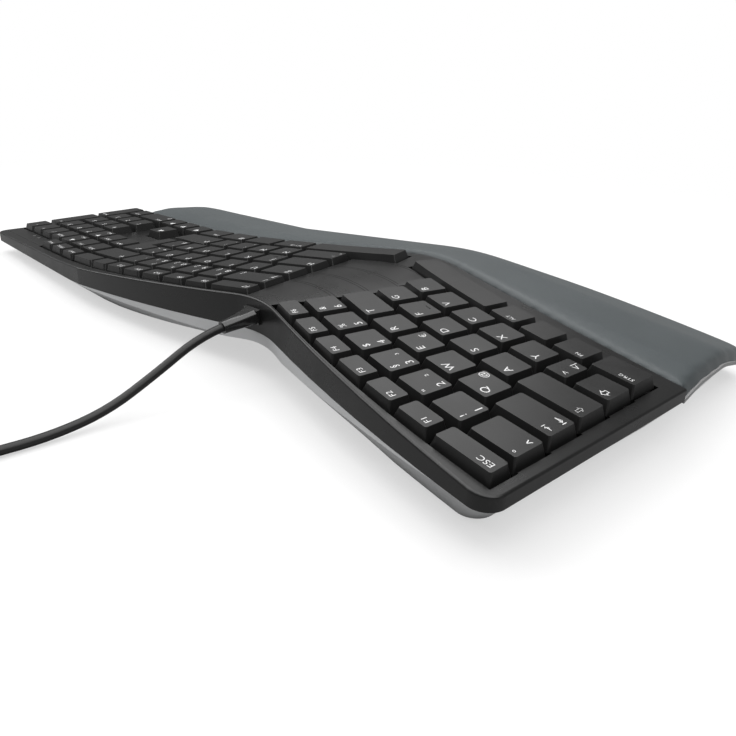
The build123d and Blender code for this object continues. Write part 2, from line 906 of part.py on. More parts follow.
with BuildPart() as frame_room:
    add(band(frame_wave(-above), frame_radii, seam_wave(-joint_gap), seam_radii, frame_fall))
    with BuildSketch(Plane.XY.offset(below)):
        add(frame_outline(-room_margin, -seam_clearance))
    extrude(amount=3 * above, mode=Mode.INTERSECT)

with BuildPart() as palm_room:
    add(palm_band(-above, pad_thickness + carrier_thickness + joint_gap))
    with BuildSketch(Plane.XY.offset(below)):
        add(palm_outline(-room_margin, -room_seam_clearance))
    extrude(amount=4 * above, mode=Mode.INTERSECT)

with BuildPart() as shell_block:
    add(hull(0))
    add(frame_room.part, mode=Mode.SUBTRACT)
    add(palm_room.part, mode=Mode.SUBTRACT)
    add(arch_block(0), mode=Mode.SUBTRACT)

with BuildPart() as shell_cavity:
    add(hull(shell_wall))
    with BuildSketch(Plane.XY):
        add(frame_outline(-room_margin, shell_wall))
        add(palm_outline(-room_margin, shell_wall))
    extrude(amount=3 * above, mode=Mode.INTERSECT)
    add(arch_block(shell_wall), mode=Mode.SUBTRACT)

with BuildPart() as shell_bosses:
    with BuildSketch(Plane.XY):
        with Locations(*frame_spots):
            Circle(boss_radius)
    extrude(amount=above)
    for x, y, join in joins[len(frame_spots) :]:
        with BuildSketch(Plane.XY):
            with Locations((x, y)):
                Circle(boss_radius)
        extrude(amount=join)
    for x, y in tilt_spots.values():
        with BuildSketch(Plane.XY):
            with Locations((x, y + tilt_thickness / 2 + pocket_clearance + pocket_wall)):
                Rectangle(
                    tilt_width + 2 * pocket_clearance + 2 * pocket_wall,
                    tilt_length + tilt_thickness / 2 + 2 * pocket_clearance + finger_room + 2 * pocket_wall,
                    align=(Align.CENTER, Align.MAX),
                )
        extrude(amount=pocket_top + pocket_roof)
    with BuildSketch(Plane.XY):
        with Locations((board_x, board_y)):
            with GridLocations(board_width - 6, 1, 2, 1):
                Circle(2.0)
    extrude(amount=board_z)
    add(shell_block.part, mode=Mode.INTERSECT)

with BuildPart() as bottom_shell:
    add(shell_block.part)
    add(shell_cavity.part, mode=Mode.SUBTRACT)
    add(shell_bosses.part)
    for x, y, join in joins:
        with BuildSketch(Plane.XY):
            with Locations((x, y)):
                Circle(screw_shank_radius + screw_clearance)
        extrude(amount=join + 1, mode=Mode.SUBTRACT)
        with BuildSketch(Plane.XY):
            with Locations((x, y)):
                Circle(screw_head_radius + screw_clearance)
        extrude(amount=join - screw_grip, mode=Mode.SUBTRACT)
    with BuildSketch(Plane.XY):
        with Locations(*rubber_spots):
            Circle(rubber_radius + screw_clearance)
    extrude(amount=rubber_thickness, mode=Mode.SUBTRACT)
    for x, y in tilt_spots.values():
        with BuildSketch(Plane.XY):
            with Locations((x, y + tilt_thickness / 2 + pocket_clearance)):
                Rectangle(
                    tilt_width + 2 * pocket_clearance,
                    tilt_length + tilt_thickness / 2 + 2 * pocket_clearance + finger_room,
                    align=(Align.CENTER, Align.MAX),
                )
        extrude(amount=pocket_top, mode=Mode.SUBTRACT)
        with BuildSketch(Plane.YZ.offset(x - tilt_width / 2 - pocket_clearance - tilt_pin_length)):
            with Locations((y, hinge_z)):
                Circle(tilt_pin_radius + tilt_pin_clearance)
        extrude(amount=tilt_width + 2 * pocket_clearance + 2 * tilt_pin_length, mode=Mode.SUBTRACT)
finish(bottom_shell, "bottom_shell")

# Palm rest

with BuildPart() as palm_rest_carrier:
    add(palm_band(pad_thickness, pad_thickness + carrier_thickness))
    with BuildSketch(Plane.XY.offset(below)):
        add(palm_outline(0, seam_clearance))
    extrude(amount=3 * above, mode=Mode.INTERSECT)
    for x, y, join in joins[len(frame_spots) :]:
        with BuildSketch(Plane.XY.offset(join)):
            with Locations((x, y)):
                Circle(boss_radius)
        extrude(amount=3.0 + carrier_thickness / 2)
        with BuildSketch(Plane.XY.offset(join)):
            with Locations((x, y)):
                Circle(screw_shank_radius + post_pilot_gap)
        extrude(amount=screw_bite + 0.1, mode=Mode.SUBTRACT)
finish(palm_rest_carrier, "palm_rest_carrier")

with BuildPart() as palm_rest_pad:
    with BuildSketch(Plane.XY):
        add(palm_outline(pad_inset, seam_clearance + pad_bond_gap))
    with BuildSketch(Plane.XY.offset(above)):
        add(palm_outline(pad_inset + pad_draw_in, seam_clearance + pad_bond_gap + pad_draw_in / 4))
    loft(ruled=True)
    add(palm_band(0, pad_thickness - pad_bond_gap), mode=Mode.INTERSECT)
finish(palm_rest_pad, "palm_rest_pad")

# Screws, feet and board

with BuildPart() as housing_screws:
    for x, y, join in joins:
        seat = join - screw_grip
        with BuildSketch(Plane.XY.offset(seat - screw_head_height)):
            with Locations((x, y)):
                Circle(screw_head_radius)
        extrude(amount=screw_head_height)
        with BuildSketch(Plane.XY.offset(seat)):
            with Locations((x, y)):
                Circle(screw_shank_radius)
        extrude(amount=screw_grip + screw_bite)
        with BuildSketch(Plane.XY.offset(seat - screw_head_height)):
            with Locations((x, y)):
                Rectangle(screw_head_radius * 1.2, screw_recess_width)
                Rectangle(screw_recess_width, screw_head_radius * 1.2)
        extrude(amount=1.0, mode=Mode.SUBTRACT)
finish(housing_screws, "housing_screws")

with BuildPart() as rubber_feet:
    with BuildSketch(Plane.XY):
        with Locations(*rubber_spots):
            Circle(rubber_radius)
    extrude(amount=rubber_thickness)
finish(rubber_feet, "rubber_feet")

for name, (x, y) in tilt_spots.items():
    with BuildPart() as tilt_foot:
        with BuildSketch(Plane.YZ.offset(x - tilt_width / 2)):
            with Locations((y, hinge_z)):
                Circle(tilt_thickness / 2)
                Rectangle(tilt_length, tilt_thickness, align=(Align.MAX, Align.CENTER))
        extrude(amount=tilt_width)
        with BuildSketch(Plane.YZ.offset(x - tilt_width / 2 - tilt_pin_length)):
            with Locations((y, hinge_z)):
                Circle(tilt_pin_radius)
        extrude(amount=tilt_width + 2 * tilt_pin_length)
    finish(tilt_foot, name)

with BuildPart() as controller_board:
    with BuildSketch(Plane.XY.offset(board_z)):
        with Locations((board_x, board_y)):
            Rectangle(board_width, board_depth)
    extrude(amount=board_thickness)
    with BuildSketch(Plane.XY.offset(board_z + board_thickness)):
        with Locations((board_x - 12, board_y)):
            Rectangle(6, 6)
        with Locations((board_x + 13, board_y + 1)):
            Rectangle(9, 4)
        with Locations(*window_spots):
            Rectangle(3, 2)
    extrude(amount=board_chip_height)
finish(controller_board, "controller_board")

guide_foot = board_z + board_thickness + board_chip_height
with BuildPart() as light_guides:
    for x, y in window_spots:
        top = key_top_z(x, home_y) - frame_drop_end - (y - home_y) * frame_fall
        with BuildSketch(Plane.XY.offset(guide_foot)):
            with Locations((x, y)):
                Circle(light_window_radius)
        extrude(amount=top - guide_foot)
finish(light_guides, "light_guides")

# Cable, its collar, coil, tie and plug

with BuildPart() as cable_collar:
    with BuildSketch(collar_plane.offset(-collar_root)):
        with Locations((0, collar_lip / 2)):
            Rectangle(collar_width, collar_height + collar_lip)
    extrude(amount=collar_flange)
    with BuildSketch(collar_plane.offset(-collar_root)):
        Rectangle(collar_width, collar_height)
    extrude(amount=collar_root + 1)
    with BuildSketch(collar_plane.offset(1)):
        RectangleRounded(collar_width, collar_height, 2.6)
    with BuildSketch(collar_plane.offset(collar_length)):
        Circle(collar_tip_radius)
    loft()
finish(cable_collar, "cable_collar")

strand_pitch = 2 * cable_radius + strand_gap
level_one = desk_gap + tie_thickness + tie_slack + cable_radius
crown_level = level_one + (coil_layers - 1) * strand_pitch + cable_radius + tie_slack + plug_height / 2
run_in = 2 * cable_radius

# Radii of the half turns of the coil, with a climb after each layer
half_turns = []
for tier in range(coil_layers):
    radii = [coil_radius - step * strand_pitch / 2 for step in range(coil_halves)]
    inner_turn = coil_radius - coil_halves * strand_pitch / 2
    outer_turn = coil_radius + strand_pitch / 2
    if tier % 2:
        radii.reverse()
    for radius in radii:
        half_turns.append((radius, 0.0))
    last_climb = crown_level - level_one - (coil_layers - 1) * strand_pitch
    climb = strand_pitch if tier < coil_layers - 1 else last_climb
    half_turns.append((outer_turn if tier % 2 else inner_turn, climb))

coil_start = (coil_x - coil_radius, coil_y, level_one)
joints_of_coil = [coil_start]
tops_of_coil = []
x, y, z = coil_start
for turn, (radius, climb) in enumerate(half_turns):
    way = 1 if turn % 2 == 0 else -1
    reach = sqrt(radius**2 + (climb / 2) ** 2)
    tops_of_coil.append((x + way * radius, y + way * reach, z + climb / 2))
    x, z = x + 2 * way * radius, z + climb
    joints_of_coil.append((x, y, z))

with BuildPart() as cable_coil:
    with BuildLine() as winding:
        Line((coil_start[0], coil_start[1] - run_in, coil_start[2]), coil_start)
        for start, top, end in zip(joints_of_coil, tops_of_coil, joints_of_coil[1:]):
            ThreePointArc(start, top, end)
        Line(joints_of_coil[-1], (x, y - run_in, z))
    path = winding.wires()[0]
    with BuildSketch(Plane(path @ 0, z_dir=path % 0)):
        Circle(cable_radius)
    sweep(path=path)
finish(cable_coil, "cable_coil")

# Least gap between points of the coil that lie further along it than the cable is thick
samples = [path @ (step / coil_samples) for step in range(coil_samples + 1)]
apart = ceil(4 * cable_radius * coil_samples / path.length)
least = min(
    (a - b).length
    for number, a in enumerate(samples)
    for b in samples[number + apart :]
    if abs(a.X - b.X) < 2 * strand_pitch and abs(a.Y - b.Y) < 2 * strand_pitch
)
section = pi * cable_radius**2
print("coil length", round(path.length, 1), "least gap", round(least - 2 * cable_radius, 2))
print("coil volume over section and length", round(cable_coil.part.volume / section / path.length, 4))

collar_tip = collar_plane.offset(collar_length).origin
straight_out = collar_plane.offset(collar_length + exit_run).origin
cable_route = [
    tuple(collar_tip),
    tuple(straight_out),
    (-76.2, 138.0, 15.0),
    (-77.0, 161.0, 4.8),
    (-78.6, 185.0, 2.1),
    (-77.4, 208.0, 2.2),
    (coil_start[0], coil_start[1] - 4 * run_in, coil_start[2]),
    (coil_start[0], coil_start[1] - run_in, coil_start[2]),
]
runs = [Vector(*b) - Vector(*a) for a, b in zip(cable_route, cable_route[1:])]
radii = []
for before, after in zip(runs, runs[1:]):
    half = radians(before.get_angle(after) / 2)
    radii.append(bend_share * min(before.length, after.length) / tan(half))

with BuildPart() as cable:
    with BuildLine() as line:
        FilletPolyline(*cable_route, radius=radii)
    path = line.wires()[0]
    with BuildSketch(Plane(path @ 0, z_dir=path % 0)):
        Circle(cable_radius)
    sweep(path=path)
finish(cable, "cable")
print("cable runs", [round(run.length, 1) for run in runs], "radii", [round(radius, 1) for radius in radii])
print("cable length", round(path.length, 1))
print("cable volume over section and length", round(cable.part.volume / section / path.length, 4))

right_joints = [point[0] for point in joints_of_coil[1:-1] if point[0] > coil_x]
tie_low = min(right_joints) - cable_radius - tie_slack - tie_thickness
tie_high = max(right_joints) + cable_radius + tie_slack
tie_top = level_one + (coil_layers - 1) * strand_pitch + cable_radius + tie_slack
with BuildPart() as cable_tie:
    with BuildSketch(Plane.XZ.offset(-coil_y - tie_width - tie_offset)):
        with Locations(((tie_low + tie_high) / 2, desk_gap)):
            Rectangle(
                tie_high - tie_low + 2 * tie_thickness,
                tie_top + tie_thickness - desk_gap,
                align=(Align.CENTER, Align.MIN),
            )
        with Locations(((tie_low + tie_high) / 2, desk_gap + tie_thickness)):
            Rectangle(
                tie_high - tie_low,
                tie_top - tie_thickness - desk_gap,
                align=(Align.CENTER, Align.MIN),
                mode=Mode.SUBTRACT,
            )
    extrude(amount=tie_width)
finish(cable_tie, "cable_tie")

plug_plane = Plane((x, y - run_in, z), x_dir=(1, 0, 0), z_dir=(0, -1, 0))
with BuildPart() as usb_plug:
    with BuildSketch(plug_plane):
        RectangleRounded(plug_width, plug_height, plug_corner)
    extrude(amount=plug_length)
finish(usb_plug, "usb_plug")
with BuildPart() as usb_contact_shell:
    with BuildSketch(plug_plane.offset(plug_length)):
        Rectangle(contact_width, contact_height)
    extrude(amount=contact_length)
    with BuildSketch(plug_plane.offset(plug_length + contact_root)):
        Rectangle(contact_width - 2 * contact_wall, contact_height - 2 * contact_wall)
    extrude(amount=contact_length, mode=Mode.SUBTRACT)
    with BuildSketch(plug_plane.offset(plug_length + contact_root - tongue_overlap)):
        with Locations((0, 2 * contact_wall)):
            Rectangle(contact_width - 2 * contact_wall, tongue_height)
    extrude(amount=contact_length - contact_root - tongue_setback)
finish(usb_contact_shell, "usb_contact_shell")
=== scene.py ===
"""Finished look of a wired, wave-shaped keyboard with a split key field and a fixed padded palm rest."""

import json
import logging
import math
from dataclasses import dataclass, field
from enum import Enum
from functools import cache, partial

import bmesh
import bpy
from mathutils import Matrix, Vector
from mathutils.bvhtree import BVHTree

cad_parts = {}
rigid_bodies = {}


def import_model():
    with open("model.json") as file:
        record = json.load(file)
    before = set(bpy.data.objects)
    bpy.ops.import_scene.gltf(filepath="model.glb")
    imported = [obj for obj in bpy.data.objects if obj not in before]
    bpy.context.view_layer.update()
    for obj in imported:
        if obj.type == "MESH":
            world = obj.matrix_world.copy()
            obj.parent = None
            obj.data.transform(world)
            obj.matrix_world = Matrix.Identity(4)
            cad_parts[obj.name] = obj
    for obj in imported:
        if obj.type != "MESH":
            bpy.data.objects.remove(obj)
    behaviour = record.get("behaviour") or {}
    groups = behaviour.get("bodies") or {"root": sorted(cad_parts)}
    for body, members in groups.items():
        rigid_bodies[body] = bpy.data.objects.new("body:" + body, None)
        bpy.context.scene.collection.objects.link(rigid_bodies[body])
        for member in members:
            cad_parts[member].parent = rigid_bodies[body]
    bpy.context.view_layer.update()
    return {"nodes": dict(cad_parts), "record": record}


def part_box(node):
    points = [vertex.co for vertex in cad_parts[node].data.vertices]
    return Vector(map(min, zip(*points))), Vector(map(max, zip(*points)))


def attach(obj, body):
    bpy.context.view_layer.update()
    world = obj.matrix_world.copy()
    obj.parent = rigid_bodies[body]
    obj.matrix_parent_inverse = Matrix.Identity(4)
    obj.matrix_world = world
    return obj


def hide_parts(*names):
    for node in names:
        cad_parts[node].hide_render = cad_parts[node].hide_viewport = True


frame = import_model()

MM = 0.001
WELD = 0.00001
log = logging.getLogger("keyboard")

Colour = tuple[float, float, float, float]
Point = tuple[float, float, float]
End = tuple[Vector, Vector]
Tree = bpy.types.NodeTree
Node = bpy.types.Node
Socket = bpy.types.NodeSocket
Piece = bpy.types.Object


class Group(Enum):
    """Names of the shared shader node groups."""

    GRAIN = "moulded grain"
    HIDE = "soft cover grain"
    DRAWN = "drawn metal"


def grey(level: float, warmth: float = 0.0) -> Colour:
    """A near neutral colour.

    Args:
        level: brightness, linear.
        warmth: how much redder and less blue it is, as a share.

    Returns:
        The colour with full alpha.
    """
    return (level * (1 + warmth), level, level * (1 - warmth), 1.0)


def add(tree: Tree, kind: str) -> Node:
    """Adds a shader node to a tree."""
    return tree.nodes.new(f"ShaderNode{kind}")


def fill(node: Node, values: dict[str, float | Colour]) -> None:
    """Sets inputs of a node by their names."""
    for name, value in values.items():
        node.inputs[name].default_value = value


class GroupLibrary:
    """Builds the shared node groups once and hands them out.

    Attributes:
        octave_share: strength of each finer octave of a noise.
        fine_share: strength of the fine grain over the pebbles of the hide.
        streak: grain of a drawn metal along its streaks, as a share of that across them.
        inputs: names of the inputs of every group.
        outputs: names and kinds of its outputs.
    """

    octave_share = 0.55
    fine_share = 0.4
    streak = 0.04
    inputs = ("Base", "Accent", "Patch Scale", "Grain Scale", "Roughness", "Swing")
    outputs = (("Color", "NodeSocketColor"), ("Roughness", "NodeSocketFloat"), ("Height", "NodeSocketFloat"))

    def __init__(self) -> None:
        """Makes every group that the finishes use."""
        self.made = {
            Group.GRAIN: self._grain(),
            Group.HIDE: self._hide(),
            Group.DRAWN: self._drawn(),
        }

    def _start(self, kind: Group, *defaults: Colour | float) -> tuple[Tree, Node, Node]:
        """Starts a group with its sockets.

        Args:
            kind: which group.
            defaults: values of its inputs, in their order.

        Returns:
            The tree, its input node and its output node.
        """
        tree = bpy.data.node_groups.new(kind.value, "ShaderNodeTree")
        for name, value in zip(self.inputs, defaults):
            form = "NodeSocketFloat" if isinstance(value, float) else "NodeSocketColor"
            tree.interface.new_socket(name, in_out="INPUT", socket_type=form).default_value = value
        for name, form in self.outputs:
            tree.interface.new_socket(name, in_out="OUTPUT", socket_type=form)
        return tree, tree.nodes.new("NodeGroupInput"), tree.nodes.new("NodeGroupOutput")

    @staticmethod
    def _noise(tree: Tree, scale: Socket, detail: float) -> Node:
        """A noise texture in the object's own metres.

        Args:
            tree: the group's tree.
            scale: socket that gives the scale.
            detail: octaves.

        Returns:
            The noise node.
        """
        place = add(tree, "TexCoord")
        noise = add(tree, "TexNoise")
        fill(noise, {"Detail": detail, "Roughness": GroupLibrary.octave_share})
        tree.links.new(place.outputs["Object"], noise.inputs["Vector"])
        tree.links.new(scale, noise.inputs["Scale"])
        return noise

    @staticmethod
    def _spread(tree: Tree, factor: Socket, low: float = 0.3, high: float = 0.7) -> Node:
        """Stretches a factor between two values, clamped.

        Args:
            tree: the group's tree.
            factor: the value to stretch.
            low: the value that becomes 0.
            high: the value that becomes 1.

        Returns:
            The map range node.
        """
        node = add(tree, "MapRange")
        fill(node, {"From Min": low, "From Max": high})
        tree.links.new(factor, node.inputs["Value"])
        return node

    @staticmethod
    def _blend(tree: Tree, factor: Socket, first: Socket, second: Socket) -> Socket:
        """Mixes two colours.

        Args:
            tree: the group's tree.
            factor: socket of the share of the second colour.
            first: colour socket.
            second: colour socket.

        Returns:
            The mixed colour socket.
        """
        mix = add(tree, "Mix")
        mix.data_type = "RGBA"
        tree.links.new(factor, mix.inputs["Factor"])
        tree.links.new(first, mix.inputs[6])
        tree.links.new(second, mix.inputs[7])
        return mix.outputs[2]

    @staticmethod
    def _rough(tree: Tree, factor: Socket, base: Socket, swing: Socket) -> Socket:
        """Roughness that varies by a swing about a base.

        Args:
            tree: the group's tree.
            factor: socket from 0 to 1.
            base: socket of the middle roughness.
            swing: socket of the whole swing.

        Returns:
            The roughness socket.
        """
        centred = add(tree, "Math")
        centred.operation = "SUBTRACT"
        centred.inputs[1].default_value = 0.5
        tree.links.new(factor, centred.inputs[0])
        scaled = add(tree, "Math")
        scaled.operation = "MULTIPLY_ADD"
        tree.links.new(centred.outputs[0], scaled.inputs[0])
        tree.links.new(swing, scaled.inputs[1])
        tree.links.new(base, scaled.inputs[2])
        return scaled.outputs[0]

    def _close(self, tree: Tree, given: Node, out: Node, tone: Socket, wear: Socket, height: Socket) -> Tree:
        """Feeds the outputs of a group.

        Args:
            tree: the group's tree.
            given: its input node.
            out: its output node.
            tone: socket of the share of the accent colour.
            wear: socket that the roughness follows.
            height: socket of the height.

        Returns:
            The tree.
        """
        colour = self._blend(tree, tone, given.outputs["Base"], given.outputs["Accent"])
        rough = self._rough(tree, wear, given.outputs["Roughness"], given.outputs["Swing"])
        tree.links.new(colour, out.inputs["Color"])
        tree.links.new(rough, out.inputs["Roughness"])
        tree.links.new(height, out.inputs["Height"])
        return tree

    def _grain(self) -> Tree:
        """Spark-eroded grain of a moulded plastic: slow patches of tone and a fine height."""
        tree, given, out = self._start(Group.GRAIN, grey(0.02), grey(0.03), 60.0, 2500.0, 0.5, 0.08)
        patches = self._noise(tree, given.outputs["Patch Scale"], 3.0)
        grain = self._noise(tree, given.outputs["Grain Scale"], 2.0)
        share = self._spread(tree, patches.outputs["Fac"]).outputs[0]
        return self._close(tree, given, out, share, share, grain.outputs["Fac"])

    def _hide(self) -> Tree:
        """Pebbled grain of a soft cover: cells with worn tops, over slow folds of tone."""
        tree, given, out = self._start(Group.HIDE, grey(0.1), grey(0.12), 35.0, 1100.0, 0.6, 0.12)
        patches = self._noise(tree, given.outputs["Patch Scale"], 4.0)
        fine = self._noise(tree, given.outputs["Grain Scale"], 3.0)
        place = add(tree, "TexCoord")
        cells = add(tree, "TexVoronoi")
        cells.feature = "DISTANCE_TO_EDGE"
        tree.links.new(place.outputs["Object"], cells.inputs["Vector"])
        tree.links.new(given.outputs["Grain Scale"], cells.inputs["Scale"])
        pebble = self._spread(tree, cells.outputs["Distance"], low=0.0, high=0.35)
        share = self._spread(tree, patches.outputs["Fac"]).outputs[0]
        height = add(tree, "Math")
        height.operation = "MULTIPLY_ADD"
        height.inputs[1].default_value = self.fine_share
        tree.links.new(fine.outputs["Fac"], height.inputs[0])
        tree.links.new(pebble.outputs[0], height.inputs[2])
        return self._close(tree, given, out, share, share, height.outputs[0])

    def _drawn(self) -> Tree:
        """Rolled or drawn metal: a tone and a roughness streaked along the keyboard's length."""
        tree, given, out = self._start(Group.DRAWN, grey(0.5), grey(0.6), 20.0, 900.0, 0.35, 0.2)
        place = add(tree, "TexCoord")
        stretch = add(tree, "Mapping")
        stretch.inputs["Scale"].default_value = (self.streak, 1.0, 1.0)
        streaks = add(tree, "TexNoise")
        streaks.inputs["Detail"].default_value = 2.0
        tree.links.new(place.outputs["Object"], stretch.inputs["Vector"])
        tree.links.new(stretch.outputs["Vector"], streaks.inputs["Vector"])
        tree.links.new(given.outputs["Grain Scale"], streaks.inputs["Scale"])
        patches = self._noise(tree, given.outputs["Patch Scale"], 2.0)
        share = self._spread(tree, streaks.outputs["Fac"]).outputs[0]
        slow = self._spread(tree, patches.outputs["Fac"]).outputs[0]
        return self._close(tree, given, out, slow, share, streaks.outputs["Fac"])


@cache
def library() -> GroupLibrary:
    """The shared node groups, built at the first call."""
    return GroupLibrary()


@dataclass(frozen=True)
class Finish:
    """One finish of the keyboard, worked out as a Principled surface.

    Attributes:
        name: the finish in a maker's words.
        base: main colour, linear.
        accent: colour of its slow patches.
        roughness: middle roughness.
        swing: how far the roughness varies.
        patch_scale: patches per metre.
        grain_scale: grains per metre.
        depth: height of the grain in metres.
        metallic: 1 for a metal.
        coat: weight of a clear layer.
        sheen: weight of soft fibre sheen.
        group: the node group that gives its grain.
    """

    name: str
    base: Colour
    accent: Colour
    roughness: float
    swing: float = 0.08
    patch_scale: float = 60.0
    grain_scale: float = 2500.0
    depth: float = 0.00001
    metallic: float = 0.0
    coat: float = 0.0
    sheen: float = 0.0
    group: Group = Group.GRAIN

    def material(self) -> bpy.types.Material:
        """Builds the finish, or returns it if it is made already.

        Returns:
            The material.
        """
        known = bpy.data.materials.get(self.name)
        if known:
            return known
        made = bpy.data.materials.new(self.name)
        made.use_nodes = True
        tree = made.node_tree
        shader = tree.nodes["Principled BSDF"]
        grain = add(tree, "Group")
        grain.node_tree = library().made[self.group]
        look = (self.base, self.accent, self.patch_scale, self.grain_scale, self.roughness, self.swing)
        fill(grain, dict(zip(GroupLibrary.inputs, look)))
        bump = add(tree, "Bump")
        fill(bump, {"Strength": 1.0, "Distance": self.depth})
        tree.links.new(grain.outputs["Color"], shader.inputs["Base Color"])
        tree.links.new(grain.outputs["Roughness"], shader.inputs["Roughness"])
        tree.links.new(grain.outputs["Height"], bump.inputs["Height"])
        tree.links.new(bump.outputs["Normal"], shader.inputs["Normal"])
        fill(shader, {"Metallic": self.metallic, "Coat Weight": self.coat, "Sheen Weight": self.sheen})
        fill(shader, {"Coat Roughness": 0.08, "Sheen Roughness": 0.45})
        return made


METAL = partial(Finish, patch_scale=20.0, grain_scale=900.0, metallic=1.0, group=Group.DRAWN)
SLOT_FINISH = {
    "key_plastic": Finish("key plastic", grey(0.0105), grey(0.0125), 0.34, depth=0.000006),
    "frame_plastic": Finish("upper housing plastic", grey(0.0065), grey(0.008), 0.30, depth=0.000004),
    "shell_plastic": Finish("lower housing plastic", grey(0.66, -0.01), grey(0.70, -0.01), 0.4),
    "pad_cover": Finish(
        "palm pad cover", (0.050, 0.061, 0.065, 1), (0.058, 0.070, 0.074, 1), 0.46, 0.1, 30.0,
        1500.0, 0.00002, sheen=0.12, group=Group.HIDE,
    ),
    "carrier_plastic": Finish("palm board plastic", grey(0.30), grey(0.33), 0.45),
    "guide_plastic": Finish("key guide plastic", grey(0.006), grey(0.008), 0.7),
    "silicone": Finish("dome silicone", grey(0.45), grey(0.5), 0.6),
    "foil": Finish("switch foil", (0.5, 0.56, 0.58, 1), (0.55, 0.6, 0.62, 1), 0.25),
    "plate_steel": METAL("zinc plated sheet", grey(0.5), grey(0.58), 0.38, 0.2),
    "wire_steel": METAL("drawn wire", grey(0.55), grey(0.62), 0.3, 0.15),
    "screw_steel": METAL("screw steel", grey(0.4), grey(0.5), 0.34, 0.15),
    "foot_rubber": Finish("foot rubber", grey(0.015), grey(0.02), 0.8, depth=0.00003),
    "tilt_foot_plastic": Finish("tilt foot plastic", grey(0.022), grey(0.028), 0.5),
    "board": Finish("solder mask", (0.008, 0.10, 0.045, 1), (0.010, 0.12, 0.05, 1), 0.3),
    "light_guide": Finish("indicator window", grey(0.10), grey(0.13), 0.2, coat=0.5),
    "collar_plastic": Finish("collar plastic", grey(0.008), grey(0.010), 0.22, coat=0.6),
    "cable_jacket": Finish("cable jacket", grey(0.011), grey(0.014), 0.42, grain_scale=1800.0),
    "tie_plastic": Finish("tie plastic", grey(0.012), grey(0.016), 0.55),
    "plug_plastic": Finish("plug plastic", grey(0.012), grey(0.016), 0.45),
    "contact_metal": METAL("bright plating", grey(0.62), grey(0.68), 0.18, 0.08),
}
LEGEND_INK = Finish("legend ink", grey(0.72), grey(0.78), 0.5, depth=0.000002)
# painted shade: the near black colour that stands for the shade inside the housing's grooves
PAINTED_GROOVE_SHADE = Finish("painted groove shade", grey(0.0015), grey(0.0022), 0.75, depth=0.000004)


def dress(piece: Piece, finish: Finish) -> None:
    """Gives a piece one finish on every face.

    Args:
        piece: mesh or curve object.
        finish: the finish.
    """
    piece.data.materials.clear()
    piece.data.materials.append(finish.material())


def show(piece: Piece) -> None:
    """Puts an object into the scene."""
    bpy.context.scene.collection.objects.link(piece)


def worked_out(piece: Piece) -> bpy.types.Mesh:
    """A new mesh of a piece of the scene, with its modifiers worked out."""
    bpy.context.view_layer.update()
    return bpy.data.meshes.new_from_object(piece.evaluated_get(bpy.context.evaluated_depsgraph_get()))


def new_mesh(name: str, points: list, faces: list, smooth: bool = False) -> Piece:
    """Makes a mesh object in the scene.

    Args:
        name: the piece's name.
        points: corner points in metres.
        faces: lists of point numbers.
        smooth: whether its faces are shaded smooth.

    Returns:
        The object.
    """
    mesh = bpy.data.meshes.new(name)
    mesh.from_pydata([tuple(point) for point in points], [], faces)
    mesh.update()
    for face in mesh.polygons:
        face.use_smooth = smooth
    piece = bpy.data.objects.new(name, mesh)
    show(piece)
    return piece


def settle(piece: Piece) -> None:
    """Turns a piece's modifiers into its mesh.

    Args:
        piece: the piece.
    """
    final = worked_out(piece)
    piece.modifiers.clear()
    piece.data = final


@dataclass
class KeyTop:
    """The flat top of one key cap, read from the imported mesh.

    Attributes:
        origin: the front left corner of the top.
        along: unit vector from left to right.
        up: unit vector out of the top.
        width: size along the row.
        depth: size from front to rear.
    """

    origin: Vector
    along: Vector
    up: Vector
    width: float
    depth: float

    @property
    def back(self) -> Vector:
        """Unit vector from the typist towards the rear, on the top."""
        return self.up.cross(self.along)

    def spot(self, across: float, deep: float, lift: float = 0.0) -> Vector:
        """A point over the top.

        Args:
            across: distance from the left edge.
            deep: distance from the front edge.
            lift: height above the top.

        Returns:
            The point in the keyboard's frame.
        """
        return self.origin + self.along * across + self.back * deep + self.up * lift


